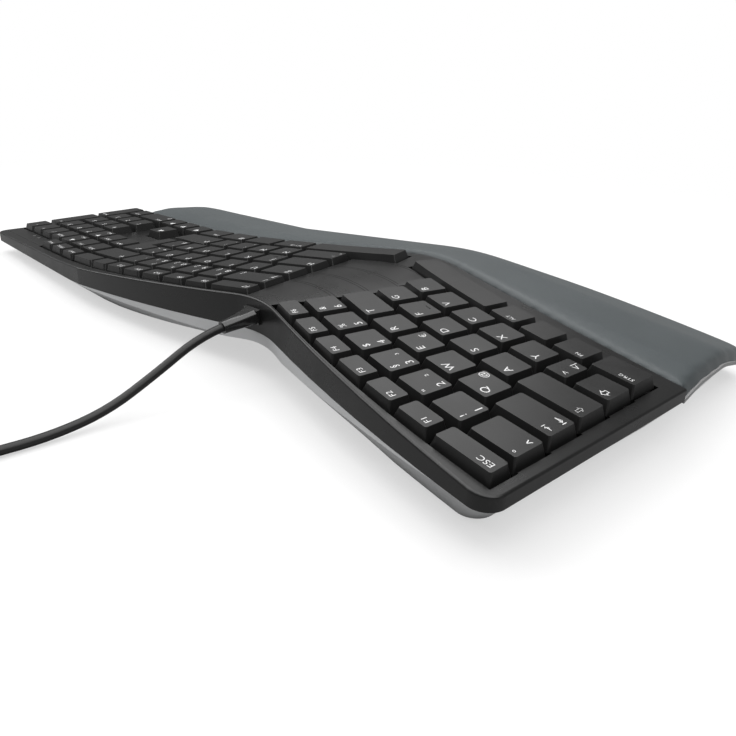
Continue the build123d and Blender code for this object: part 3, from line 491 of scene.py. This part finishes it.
class CapReader:
    """Finds the flat tops of the caps in a key node's mesh.

    Attributes:
        flat: least upward part of the normal of a cap's top.
        same: least likeness of the normals of one top's faces.
        step: most that the faces of one top differ in height.
        row: most that the caps of one row differ in depth.
        short: length up to which an edge is taken as part of a corner.
        level: least part of an edge's direction that runs along the row.
    """

    flat = 0.985
    same = 0.9999
    step = 0.05 * MM
    row = 13 * MM
    short = 3 * MM
    level = 0.7

    def caps(self, node: str) -> list[KeyTop]:
        """The caps of a node.

        Args:
            node: a key node's name.

        Returns:
            Its tops, from the rear row to the front one and from left to right.
        """
        bm = bmesh.new()
        bm.from_mesh(frame["nodes"][node].data)
        bmesh.ops.remove_doubles(bm, verts=bm.verts, dist=WELD)
        bm.faces.ensure_lookup_table()
        tops = [self._top(island) for island in self._islands(bm)]
        bm.free()
        rows = sorted(tops, key=lambda top: -top.spot(top.width / 2, top.depth / 2).y)
        ordered: list[KeyTop] = []
        while rows:
            level = rows[0].spot(0, rows[0].depth / 2).y
            row = [top for top in rows if abs(top.spot(0, top.depth / 2).y - level) < self.row]
            rows = [top for top in rows if top not in row]
            ordered += sorted(row, key=lambda top: top.origin.x)
        return ordered

    @staticmethod
    def _islands(bm: bmesh.types.BMesh) -> list[list]:
        """Groups of faces that hang together.

        Args:
            bm: the welded mesh.

        Returns:
            One list of faces for each solid.
        """
        left = set(bm.faces)
        islands = []
        while left:
            stack = [left.pop()]
            island = []
            while stack:
                face = stack.pop()
                island.append(face)
                for edge in face.edges:
                    for other in edge.link_faces:
                        if other in left:
                            left.remove(other)
                            stack.append(other)
            islands.append(island)
        return islands

    def _top(self, island: list) -> KeyTop:
        """Measures the highest flat face of a cap.

        Args:
            island: the cap's faces.

        Returns:
            The top.
        """
        for face in island:
            face.normal_update()
        highest = max(
            (face for face in island if face.normal.z > self.flat),
            key=lambda face: face.calc_center_median().z,
        )
        up = highest.normal.copy()
        level = highest.calc_center_median().dot(up)
        flat = [
            face
            for face in island
            if face.normal.dot(up) > self.same and abs(face.calc_center_median().dot(up) - level) < self.step
        ]
        rim = [edge for face in flat for edge in face.edges if sum(f in flat for f in edge.link_faces) == 1]
        sides = []
        for edge in rim:
            run = edge.verts[1].co - edge.verts[0].co
            if run.x < 0:
                run = -run
            if run.length > self.short and abs(run.normalized().x) > self.level:
                sides.append((edge.verts[0].co.y + edge.verts[1].co.y, run))
        front = min(sides, key=lambda item: item[0])[1]
        along = (front - up * front.dot(up)).normalized()
        back = up.cross(along)
        points = [vert.co for face in flat for vert in face.verts]
        across = [point.dot(along) for point in points]
        deep = [point.dot(back) for point in points]
        origin = along * min(across) + back * min(deep) + up * level
        return KeyTop(origin, along, up, max(across) - min(across), max(deep) - min(deep))


@dataclass(frozen=True)
class Legend:
    """What one key carries.

    Attributes:
        main: the legend that the key gives alone.
        shifted: the legend above it, or nothing.
        third: a small legend at the front right, or nothing.
    """

    main: str = ""
    shifted: str = ""
    third: str = ""


def plain(*names: str) -> list[Legend]:
    """Legends of neighbouring caps with one sign each, or none."""
    return [Legend(name) for name in names]


LEGENDS = {
    "key_esc": plain("ESC"),
    "keys_f1_to_f3": plain("F1", "F2", "F3"),
    "keys_f4_to_f6": plain("F4", "F5", "F6"),
    "keys_caret_to_six": [
        Legend("^", "°"), Legend("1", "!"), Legend("2", '"', "²"), Legend("3", "§", "³"),
        Legend("4", "$"), Legend("5", "%"), Legend("6", "&"),
    ],
    "key_tab": [Legend("⇤", "⇥")],
    "keys_q_to_t": [Legend("Q", "", "@"), Legend("W"), Legend("E", "", "€"), Legend("R"), Legend("T")],
    "key_caps_lock": plain("⇩"),
    "keys_a_to_g": plain(*"ASDFG"),
    "key_shift_left": plain("⇧"),
    "keys_angle_to_b": [Legend("<", ">", "|")] + plain(*"YXCVB"),
    "key_ctrl_left": plain("STRG"),
    "keys_fn_to_alt": plain("FN", "", "ALT"),
    "keys_f7_to_f9": plain("F7", "F8", "F9"),
    "keys_f10_to_k2": plain("F10", "F11", "F12", "", ""),
    "keys_seven_to_nine": [Legend("7", "/", "{"), Legend("8", "(", "["), Legend("9", ")", "]")],
    "keys_zero_to_accent": [Legend("0", "=", "}"), Legend("ß", "?", "\\"), Legend("´", "`")],
    "keys_z_to_o": plain(*"ZUIO"),
    "keys_p_to_plus": [Legend("P"), Legend("Ü"), Legend("+", "*", "~")],
    "keys_h_to_l": plain(*"HJKL"),
    "keys_oe_to_hash": [Legend("Ö"), Legend("Ä"), Legend("#", "'")],
    "keys_n_to_dash": [Legend("N"), Legend("M"), Legend(",", ";"), Legend(".", ":"), Legend("-", "_")],
    "key_backspace": plain("←"),
    "key_shift_right": plain("⇧"),
    "key_enter": plain("↵"),
    "keys_altgr_to_ctrl": plain("ALT GR", "", "☰", "STRG"),
    "keys_f_row_right": plain("PRINT", "SCROLL", "PAUSE"),
    "keys_editing": [
        Legend("EINFG"), Legend("POS 1"), Legend("BILD", "▲"),
        Legend("ENTF"), Legend("ENDE"), Legend("BILD", "▼"),
    ],
    "key_arrow_up": plain("▲"),
    "keys_arrows_lower": plain("◀", "▼", "▶"),
    "keys_num_operators": plain("NUM", "/", "*", "-"),
    "keys_num_four_to_nine": plain(*"789456"),
    "keys_num_one_to_comma": [Legend("1"), Legend("2"), Legend("3"), Legend(",", "ENTF")],
    "key_num_plus": plain("+"),
    "key_num_enter": plain("ENTER"),
    "key_num_zero": [Legend("0", "EINFG")],
}


@dataclass
class KeyField:
    """The caps, their legends and the homing bars.

    Attributes:
        glyph: height of a single letter's type size.
        word: type size of a name of two or three letters.
        long_word: type size of a longer name.
        inset: distance of a legend from the cap's left edge.
        margin: distance of a legend from the front or rear edge.
        lift: how far the ink stands above the cap.
        ink: thickness of the ink.
        second: size of a second legend, as a share of a single letter's.
        cap_line: height of a capital, as a share of its type size.
        set_width: width of a letter, as a share of its type size.
        edge: rounding of a cap's edges.
        tops: the tops of each key node's caps.
        glyphs: points and faces of each legend and type size made so far.
    """

    glyph: float = 5.3 * MM
    word: float = 3.8 * MM
    long_word: float = 2.7 * MM
    inset: float = 1.9 * MM
    margin: float = 1.7 * MM
    lift: float = 0.03 * MM
    ink: float = 0.02 * MM
    second: float = 0.86
    cap_line: float = 0.72
    set_width: float = 0.62
    edge: float = 0.35 * MM
    tops: dict[str, list[KeyTop]] = field(default_factory=dict)
    glyphs: dict[tuple[str, float], tuple[list, list]] = field(default_factory=dict)

    def build(self) -> None:
        """Reads the caps, softens their edges and prints their legends."""
        reader = CapReader()
        for node in frame["nodes"]:
            if node.startswith("key") and node != "key_guide_plate":
                self.tops[node] = reader.caps(node)
                self._soften(frame["nodes"][node])
        for node, legends in LEGENDS.items():
            self._print(node, legends)
        self._bar("keys_a_to_g", 3)
        self._bar("keys_h_to_l", 1)
        self._bar("keys_num_four_to_nine", 4)

    def _soften(self, piece: Piece) -> None:
        """Rounds the sharp edges of a cap with modifiers.

        Args:
            piece: a key node's object.
        """
        weld = piece.modifiers.new("weld", "WELD")
        weld.merge_threshold = WELD
        bevel = piece.modifiers.new("soft edge", "BEVEL")
        bevel.width = self.edge
        bevel.segments = 2
        bevel.limit_method = "ANGLE"
        bevel.angle_limit = math.radians(38)
        bevel.use_clamp_overlap = True
        for face in piece.data.polygons:
            face.use_smooth = True
        shade = piece.modifiers.new("even shade", "WEIGHTED_NORMAL")
        shade.keep_sharp = False

    def _type(self, text: str, size: float) -> tuple[list, list]:
        """The mesh of a text, set flat with its lower left corner at the origin.

        Args:
            text: what it says.
            size: type size.

        Returns:
            Its points and faces.
        """
        if (text, size) not in self.glyphs:
            curve = bpy.data.curves.new("type", "FONT")
            curve.body = text
            curve.size = size
            curve.extrude = self.ink / 2
            curve.resolution_u = 3
            curve.space_character = 1.05
            piece = bpy.data.objects.new("type", curve)
            show(piece)
            mesh = worked_out(piece)
            points = [vertex.co.copy() for vertex in mesh.vertices]
            faces = [list(face.vertices) for face in mesh.polygons]
            low_x = min((point.x for point in points), default=0.0)
            points = [Vector((point.x - low_x, point.y, point.z)) for point in points]
            bpy.data.objects.remove(piece)
            bpy.data.curves.remove(curve)
            bpy.data.meshes.remove(mesh)
            self.glyphs[(text, size)] = (points, faces)
        return self.glyphs[(text, size)]

    def _size(self, text: str) -> float:
        """Type size of a legend.

        Args:
            text: what it says.

        Returns:
            The size.
        """
        if len(text) < 2:
            return self.glyph
        return self.word if len(text) < 4 and text not in ("ALT", "FN") else self.long_word

    def _print(self, node: str, legends: list[Legend]) -> None:
        """Sets the legends of one node's caps as one thin mesh.

        Args:
            node: the key node.
            legends: one for each cap.
        """
        points: list[Vector] = []
        faces: list[list[int]] = []
        for top, legend in zip(self.tops[node], legends):
            size = self._size(legend.main)
            small = self.glyph * self.second
            rear = top.depth - self.margin
            rows = []
            if legend.main:
                deep = self.margin if legend.shifted else rear - size * self.cap_line
                rows.append((legend.main, size, self.inset, deep))
            if legend.shifted:
                high = small if len(legend.shifted) < 2 else self._size(legend.shifted)
                rows.append((legend.shifted, high, self.inset, rear - high * self.cap_line))
            if legend.third:
                across = top.width - self.inset - small * self.set_width
                rows.append((legend.third, small, across, self.margin))
            for text, height, across, deep in rows:
                shape, sides = self._type(text, height)
                start = len(points)
                for point in shape:
                    points.append(top.spot(across + point.x, deep + point.y, self.lift + point.z))
                faces += [[start + corner for corner in side] for side in sides]
        if not points:
            return
        piece = new_mesh(f"legends_{node}", points, faces)
        dress(piece, LEGEND_INK)
        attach(piece, node)

    def _bar(self, node: str, cap: int) -> None:
        """Raises a homing bar near the front edge of a cap.

        Args:
            node: the key node.
            cap: which of its caps.
        """
        top = self.tops[node][cap]
        length, width, height = 4.2 * MM, 0.8 * MM, 0.45 * MM
        place, sunk = 2.6 * MM, 0.05 * MM
        rings, steps, bluntness, least = 9, 8, 6, 0.05
        points = []
        faces = []
        for ring in range(rings):
            across = (ring / (rings - 1) - 0.5) * length
            swell = max(least, math.sqrt(max(0.0, 1 - (2 * abs(across) / length) ** bluntness)))
            for step in range(steps + 1):
                angle = math.pi * step / steps
                deep = place - math.cos(angle) * width / 2 * swell
                lift = math.sin(angle) * height * swell - sunk
                points.append(top.spot(top.width / 2 + across, deep, lift))
        stride = steps + 1
        for ring in range(rings - 1):
            start = ring * stride
            for low in range(start, start + steps):
                faces.append([low, low + stride, low + stride + 1, low + 1])
            faces.append([start + steps, start + stride + steps, start + stride, start])
        faces.append(list(range(stride)))
        faces.append([(rings - 1) * stride + step for step in range(steps, -1, -1)])
        piece = new_mesh(f"homing_bar_{node}", points, faces, smooth=True)
        dress(piece, SLOT_FINISH["key_plastic"])
        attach(piece, node)


class Surface:
    """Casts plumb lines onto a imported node, from a clear height above or below it."""

    clear = 0.05

    def __init__(self, node: str) -> None:
        """Reads the node's mesh.

        Args:
            node: its name.
        """
        mesh = frame["nodes"][node].data
        self.low, self.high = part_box(node)
        mesh.calc_loop_triangles()
        self.tree = BVHTree.FromPolygons(
            [vertex.co for vertex in mesh.vertices], [tuple(t.vertices) for t in mesh.loop_triangles]
        )

    def height(self, x: float, y: float, under: bool = False) -> float | None:
        """Height of the node's upper side, or of its underside, at a point.

        Args:
            x: place along the length.
            y: place along the depth.
            under: whether the underside is meant.

        Returns:
            The height, or nothing where the node isn't.
        """
        start = self.low[2] - self.clear if under else self.high[2] + self.clear
        hit = self.tree.ray_cast(Vector((x, y, start)), Vector((0, 0, 1 if under else -1)))
        return hit[0].z if hit[0] else None


@dataclass
class UpperHousing:
    """The black upper housing: groove lines on the saddle and the indicator panel, drawn as near black
    strips of painted shade.

    Attributes:
        groove_width: width of one line.
        groove_gap: distance between the two lines of a pair.
        lift: how far a line's strip stands above the plastic.
        sink: how far the middle of a strip lies below its sides.
        drop: most that the plastic may fall across a strip.
        set_off: distance of a saddle line's ends from the caps.
        steps: parts of a saddle line.
        panel: left and right end of the panel's line.
        panel_rear: distance of the panel's line behind the indicator windows.
        panel_slant: how much nearer its right end is.
        panel_steps: parts of the panel's line.
    """

    groove_width: float = 0.5 * MM
    groove_gap: float = 1.9 * MM
    lift: float = 0.04 * MM
    sink: float = 0.02 * MM
    drop: float = 0.5 * MM
    set_off: float = 2.6 * MM
    steps: int = 32
    panel: tuple[float, float] = (0.166, 0.232)
    panel_rear: float = 7.5 * MM
    panel_slant: float = 0.8 * MM
    panel_steps: int = 24

    def build(self, keys: KeyField) -> None:
        """Draws the groove lines as strips of painted shade.

        Args:
            keys: the key field, whose row gaps the saddle lines go on from.
        """
        skin = Surface("top_frame")
        for number, (left, right) in enumerate(self._row_gaps(keys)):
            for side, word in ((-0.5, "front"), (0.5, "rear")):
                points = self._line(left, right, side)
                self._strip(f"saddle_groove_{number}_{word}", points, skin)
        _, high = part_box("light_guides")
        rear = high.y + self.panel_rear
        start = Vector((self.panel[0], rear, 0))
        end = Vector((self.panel[1], rear - self.panel_slant, 0))
        points = [start.lerp(end, step / self.panel_steps) for step in range(self.panel_steps + 1)]
        self._strip("panel_groove", points, skin)

    @staticmethod
    def _row_gaps(keys: KeyField) -> list[tuple[End, End]]:
        """The inner ends of the four gaps between rows, on both sides of the saddle.

        Args:
            keys: the key field.

        Returns:
            Pairs of (point, direction) for the left and right sides.
        """
        rows = [
            ("keys_caret_to_six", "keys_seven_to_nine"),
            ("keys_q_to_t", "keys_z_to_o"),
            ("keys_a_to_g", "keys_h_to_l"),
            ("keys_angle_to_b", "keys_n_to_dash"),
            ("key_space_left", "key_space_right"),
        ]
        gaps = []
        for upper, lower in zip(rows, rows[1:]):
            left_up, left_low = keys.tops[upper[0]][-1], keys.tops[lower[0]][-1]
            right_up, right_low = keys.tops[upper[1]][0], keys.tops[lower[1]][0]
            a = (left_up.spot(left_up.width, 0) + left_low.spot(left_low.width, left_low.depth)) / 2
            b = (right_up.spot(0, 0) + right_low.spot(0, right_low.depth)) / 2
            gaps.append(((a, left_up.along), (b, right_up.along)))
        return gaps

    def _line(self, left: End, right: End, side: float) -> list[Vector]:
        """One curved line across the saddle.

        Args:
            left: point and direction at the left keys.
            right: point and direction at the right keys.
            side: which line of the pair, in gaps from the middle.

        Returns:
            Points along it.
        """
        shift = Vector((0, side * self.groove_gap, 0))
        start = left[0] + shift + left[1] * self.set_off
        end = right[0] + shift - right[1] * self.set_off
        reach = (end - start).length / 3
        bend_a, bend_b = start + left[1] * reach, end - right[1] * reach
        points = []
        for step in range(self.steps + 1):
            t = step / self.steps
            u = 1 - t
            points.append(start * u**3 + bend_a * 3 * t * u**2 + bend_b * 3 * t**2 * u + end * t**3)
        return points

    def _strip(self, name: str, points: list[Vector], skin: Surface) -> None:
        """A shallow strip laid on the housing along a line, darker than the plastic: painted shade of the
        groove's recess.

        Args:
            name: the piece's name.
            points: the line, seen from above.
            skin: the plastic that it lies on.
        """
        stations = []
        for number, point in enumerate(points):
            ahead = points[min(number + 1, len(points) - 1)] - points[max(number - 1, 0)]
            out = Vector((-ahead.y, ahead.x, 0)).normalized() * self.groove_width / 2
            spots = [point - out, point, point + out]
            heights = [skin.height(spot.x, spot.y) for spot in spots]
            if None not in heights and max(heights) - min(heights) < self.drop:
                lifts = (self.lift, self.lift - self.sink, self.lift)
                stations.append([Vector((p.x, p.y, h + lift)) for p, h, lift in zip(spots, heights, lifts)])
        corners = [corner for station in stations for corner in station]
        faces = []
        for number in range(len(stations) - 1):
            low = number * 3
            faces.append([low, low + 3, low + 4, low + 1])
            faces.append([low + 1, low + 4, low + 5, low + 2])
        piece = new_mesh(name, corners, faces, smooth=True)
        if piece.data.polygons[0].normal.z < 0:
            piece.data.flip_normals()
        # the strip's near black colour is painted shade of the groove
        dress(piece, PAINTED_GROOVE_SHADE)
        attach(piece, "housing")


@dataclass
class PalmRest:
    """The soft pad, whose cover is drawn down over the sides of the board it is bonded to.

    Attributes:
        swell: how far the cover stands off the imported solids.
        voxel: remesh size.
        even: smoothing passes over the whole cover.
        roll: smoothing passes that round the upper edge.
        side: height below the top over which the rounding fades out.
        lip: how far above the board's underside the cover ends.
        fill: how tightly it is stuffed.
        fade: where the rounding starts to fade, in sides below the top.
        beside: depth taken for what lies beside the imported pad, in sides.
    """

    swell: float = 0.4 * MM
    voxel: float = 1.1 * MM
    even: int = 8
    roll: int = 40
    side: float = 5.0 * MM
    lip: float = 0.5 * MM
    # fill: how tightly it is stuffed; not used.
    fill: float = 0.8
    fade: float = 1.4
    beside: float = 0.4

    def build(self) -> None:
        """Makes the pad."""
        mesh = bpy.data.meshes.new("palm_cushion")
        bm = bmesh.new()
        for node in ("palm_rest_pad", "palm_rest_carrier"):
            bm.from_mesh(frame["nodes"][node].data)
        bmesh.ops.remove_doubles(bm, verts=bm.verts, dist=WELD)
        bm.to_mesh(mesh)
        bm.free()
        pad = bpy.data.objects.new("palm_cushion", mesh)
        show(pad)
        swell = pad.modifiers.new("swell", "DISPLACE")
        swell.strength = self.swell
        swell.mid_level = 0.0
        remesh = pad.modifiers.new("remesh", "REMESH")
        remesh.mode = "VOXEL"
        remesh.voxel_size = self.voxel
        even = pad.modifiers.new("even", "SMOOTH")
        even.factor = 0.5
        even.iterations = self.even
        settle(pad)
        self._round(pad)
        self._end_above(pad)
        for face in pad.data.polygons:
            face.use_smooth = True
        dress(pad, SLOT_FINISH["pad_cover"])
        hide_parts("palm_rest_pad")
        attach(pad, "housing")

    def _round(self, pad: Piece) -> None:
        """Rounds the upper edge and leaves the foot of the sides where it is.

        Args:
            pad: the pad's object.
        """
        top = Surface("palm_rest_pad")
        soft = pad.vertex_groups.new(name="upper edge")
        for vertex in pad.data.vertices:
            height = top.height(vertex.co.x, vertex.co.y)
            depth = height - vertex.co.z if height is not None else self.side * self.beside
            soft.add([vertex.index], max(0.0, min(1.0, self.fade - depth / self.side)), "REPLACE")
        roll = pad.modifiers.new("roll", "SMOOTH")
        roll.factor = 0.5
        roll.iterations = self.roll
        roll.vertex_group = "upper edge"
        settle(pad)

    def _end_above(self, pad: Piece) -> None:
        """Lifts the underside to just above the board's, so that the board closes it below.

        Args:
            pad: the pad's object.
        """
        board = Surface("palm_rest_carrier")
        for vertex in pad.data.vertices:
            foot = board.height(vertex.co.x, vertex.co.y, under=True)
            if foot is not None and vertex.co.z < foot + self.lip:
                vertex.co.z = foot + self.lip


@dataclass
class Cord:
    """The free cable: its route, and the coil that holds the length out of view.

    Attributes:
        radius: the cable's radius.
        route: points of the free stretch, given in millimetres.
        coil_radius: radius of the outermost half turn.
        halves: half turns in a layer.
        layers: layers of the coil.
        pitch: distance between neighbouring turns.
        level: height of the lowest turns.
        crown: height at which the cable leaves the coil for the plug.
        centre_y: the coil's place behind the keyboard.
        run: straight length at both ends of the coil.
        steps: points in a half turn.
    """

    radius: float = 2.0 * MM
    route: tuple[Point, ...] = (
        (-76.0, 104.291, 28.341),
        (-76.0, 116.143, 26.463),
        (-76.2, 138.0, 15.0),
        (-77.0, 161.0, 4.8),
        (-78.6, 185.0, 2.1),
        (-77.4, 208.0, 2.2),
        (-76.5, 232.0, 3.2),
        (-76.5, 244.0, 3.2),
    )
    coil_radius: float = 32.0
    halves: int = 6
    layers: int = 3
    pitch: float = 4.7
    level: float = 3.2
    crown: float = 18.7
    centre_y: float = 248.0
    run: float = 4.0
    steps: int = 8

    def _half_turns(self) -> list[tuple[float, float]]:
        """Radius and climb of each half turn, in and out again with a climb at each reversal.

        Returns:
            The half turns in order, in millimetres.
        """
        turns = []
        for tier in range(self.layers):
            radii = [self.coil_radius - step * self.pitch / 2 for step in range(self.halves)]
            inner = self.coil_radius - self.halves * self.pitch / 2
            outer = self.coil_radius + self.pitch / 2
            if tier % 2:
                radii.reverse()
            turns += [(radius, 0.0) for radius in radii]
            last = self.crown - self.level - (self.layers - 1) * self.pitch
            climb = self.pitch if tier < self.layers - 1 else last
            turns.append((outer if tier % 2 else inner, climb))
        return turns

    def points(self) -> list[Vector]:
        """Control points of the whole cable.

        Returns:
            The points in metres.
        """
        line = [Vector(point) for point in self.route]
        x, y, z = line[-1].x, self.centre_y, self.level
        stretch = 1 / math.cos(math.pi / (2 * self.steps))
        for number, (radius, climb) in enumerate(self._half_turns()):
            way = 1 if number % 2 == 0 else -1
            middle = x + way * radius
            reach = way * radius * stretch
            for step in range(self.steps):
                angle = math.pi * (step + 0.5) / self.steps
                side, ahead = math.cos(angle), math.sin(angle)
                line.append(Vector((middle - reach * side, y + reach * ahead, z + climb * (1 - side) / 2)))
            x, z = x + 2 * way * radius, z + climb
        line.append(Vector((x, y - self.run, z)))
        return [point * MM for point in line]

    def build(self) -> None:
        """Lays the cable as one curve."""
        points = self.points()
        curve = bpy.data.curves.new("cable_line", "CURVE")
        curve.dimensions = "3D"
        curve.bevel_depth = self.radius
        curve.bevel_resolution = 4
        curve.resolution_u = 5
        curve.use_fill_caps = True
        spline = curve.splines.new("NURBS")
        spline.points.add(len(points) - 1)
        for control, point in zip(spline.points, points):
            control.co = (*point, 1.0)
        spline.order_u = 3
        spline.use_endpoint_u = True
        cord = bpy.data.objects.new("cable_line", curve)
        show(cord)
        dress(cord, SLOT_FINISH["cable_jacket"])
        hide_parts("cable", "cable_coil")
        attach(cord, "housing")


def dress_nodes() -> None:
    """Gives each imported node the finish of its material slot."""
    for row in frame["record"]["subparts"]:
        dress(frame["nodes"][row["node"]], SLOT_FINISH[row["material_slot"]])


@dataclass
class Studio:
    """Camera, lamps and floor.

    Attributes:
        eye: the camera's place in millimetres.
        right: the picture's right in the keyboard's frame.
        ahead: the line of sight.
        lens: focal length in millimetres on the sensor.
        sensor: sensor width in millimetres.
        lamps: name, place in metres, side in metres and power in watts of each lamp.
    """

    eye: Point = (-326.98, 249.06, 137.27)
    right: Point = (-0.6759, -0.7363, 0.0324)
    ahead: Point = (0.6631, -0.6267, -0.4094)
    lens: float = 32.35
    sensor: float = 36.0
    lamps: tuple[tuple[str, Point, float, float], ...] = (
        ("softbox_left", (-1.2, 0.1, 1.3), 1.0, 7.0),
        ("softbox_front", (0.75, -0.85, 1.35), 1.1, 6.5),
        ("softbox_rear", (1.0, 0.6, 1.0), 1.2, 11.0),
        ("ceiling", (0.0, 0.0, 1.6), 1.8, 21.0),
    )

    def build(self) -> None:
        """Sets the camera, the world, the lamps and the floor."""
        self._camera()
        self._world()
        self._floor()
        for lamp in self.lamps:
            self._lamp(*lamp)
        bpy.context.scene.view_settings.view_transform = "Standard"

    def _camera(self) -> None:
        """Places the camera at the photograph's view."""
        data = bpy.data.cameras.new("camera")
        data.lens = self.lens
        data.sensor_width = self.sensor
        data.clip_start = 0.01
        data.clip_end = 20.0
        camera = bpy.data.objects.new("camera", data)
        show(camera)
        right = Vector(self.right).normalized()
        back = -Vector(self.ahead).normalized()
        up = back.cross(right).normalized()
        right = up.cross(back)
        turn = Matrix((right, up, back)).transposed().to_4x4()
        camera.matrix_world = Matrix.Translation(Vector(self.eye) * MM) @ turn
        bpy.context.scene.camera = camera

    @staticmethod
    def _world() -> None:
        """A soft white room: white where it is seen, dimmer where it lights."""
        world = bpy.data.worlds.new("room")
        bpy.context.scene.world = world
        world.use_nodes = True
        tree = world.node_tree
        tree.nodes.clear()
        path = add(tree, "LightPath")
        seen = add(tree, "Background")
        fill(seen, {"Color": (1, 1, 1, 1), "Strength": 1.0})
        light = add(tree, "Background")
        fill(light, {"Color": (1, 1, 1, 1), "Strength": 0.2})
        mix = add(tree, "MixShader")
        out = add(tree, "OutputWorld")
        tree.links.new(path.outputs["Is Camera Ray"], mix.inputs["Fac"])
        tree.links.new(light.outputs[0], mix.inputs[1])
        tree.links.new(seen.outputs[0], mix.inputs[2])
        tree.links.new(mix.outputs[0], out.inputs["Surface"])

    @staticmethod
    def _floor() -> None:
        """A pale floor that keeps a soft shadow and fades into the white room with distance."""
        size, drop = 6.0, 0.0004
        near, far, veil = 0.30, 0.75, 0.55
        bounce, pale = 0.32, 0.93
        floor = new_mesh(
            "floor",
            [(-size, -size, -drop), (size, -size, -drop), (size, size, -drop), (-size, size, -drop)],
            [[0, 1, 2, 3]],
        )
        made = bpy.data.materials.new("pale floor")
        made.use_nodes = True
        tree = made.node_tree
        shader = tree.nodes["Principled BSDF"]
        fill(shader, {"Roughness": 0.9, "Specular IOR Level": 0.0})
        glow = add(tree, "Emission")
        fill(glow, {"Color": (1, 1, 1, 1), "Strength": 1.0})
        path = add(tree, "LightPath")
        place = add(tree, "TexCoord")
        reach = add(tree, "VectorMath")
        reach.operation = "LENGTH"
        fade = add(tree, "MapRange")
        fade.interpolation_type = "SMOOTHSTEP"
        fill(fade, {"From Min": near, "From Max": far, "To Min": veil})
        share = add(tree, "Math")
        share.operation = "MULTIPLY"
        mix = add(tree, "MixShader")
        tone = add(tree, "MapRange")
        fill(tone, {"To Min": bounce, "To Max": pale})
        tree.links.new(path.outputs["Is Camera Ray"], tone.inputs["Value"])
        tree.links.new(tone.outputs["Result"], shader.inputs["Base Color"])
        tree.links.new(place.outputs["Object"], reach.inputs[0])
        tree.links.new(reach.outputs["Value"], fade.inputs["Value"])
        tree.links.new(path.outputs["Is Camera Ray"], share.inputs[0])
        tree.links.new(fade.outputs["Result"], share.inputs[1])
        tree.links.new(share.outputs[0], mix.inputs["Fac"])
        tree.links.new(shader.outputs[0], mix.inputs[1])
        tree.links.new(glow.outputs[0], mix.inputs[2])
        tree.links.new(mix.outputs[0], tree.nodes["Material Output"].inputs["Surface"])
        floor.data.materials.append(made)

    @staticmethod
    def _lamp(name: str, place: Point, size: float, power: float) -> None:
        """A soft square lamp aimed at the keyboard.

        Args:
            name: its name.
            place: where it hangs, in metres.
            size: its side in metres.
            power: its power in watts.
        """
        data = bpy.data.lights.new(name, "AREA")
        data.shape = "SQUARE"
        data.size = size
        data.energy = power
        lamp = bpy.data.objects.new(name, data)
        show(lamp)
        lamp.location = place
        lamp.rotation_mode = "QUATERNION"
        lamp.rotation_quaternion = (-Vector(place)).to_track_quat("-Z", "Y")


def main() -> None:
    """Builds the studio and every piece, and logs the key tops and each piece's finishes."""
    logging.basicConfig(level=logging.INFO, format="%(name)s: %(message)s")
    log.info("shader node groups: %d", len(library().made))
    Studio().build()
    dress_nodes()
    Cord().build()
    keys = KeyField()
    keys.build()
    log.info("key tops: %d", sum(len(tops) for tops in keys.tops.values()))
    UpperHousing().build(keys)
    PalmRest().build()
    for piece in bpy.context.scene.objects:
        if piece.type in ("MESH", "CURVE"):
            finishes = ", ".join(made.name for made in piece.data.materials if made)
            log.info("piece %s: %s", piece.name, finishes)
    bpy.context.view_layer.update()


if __name__ == "__main__":
    main()
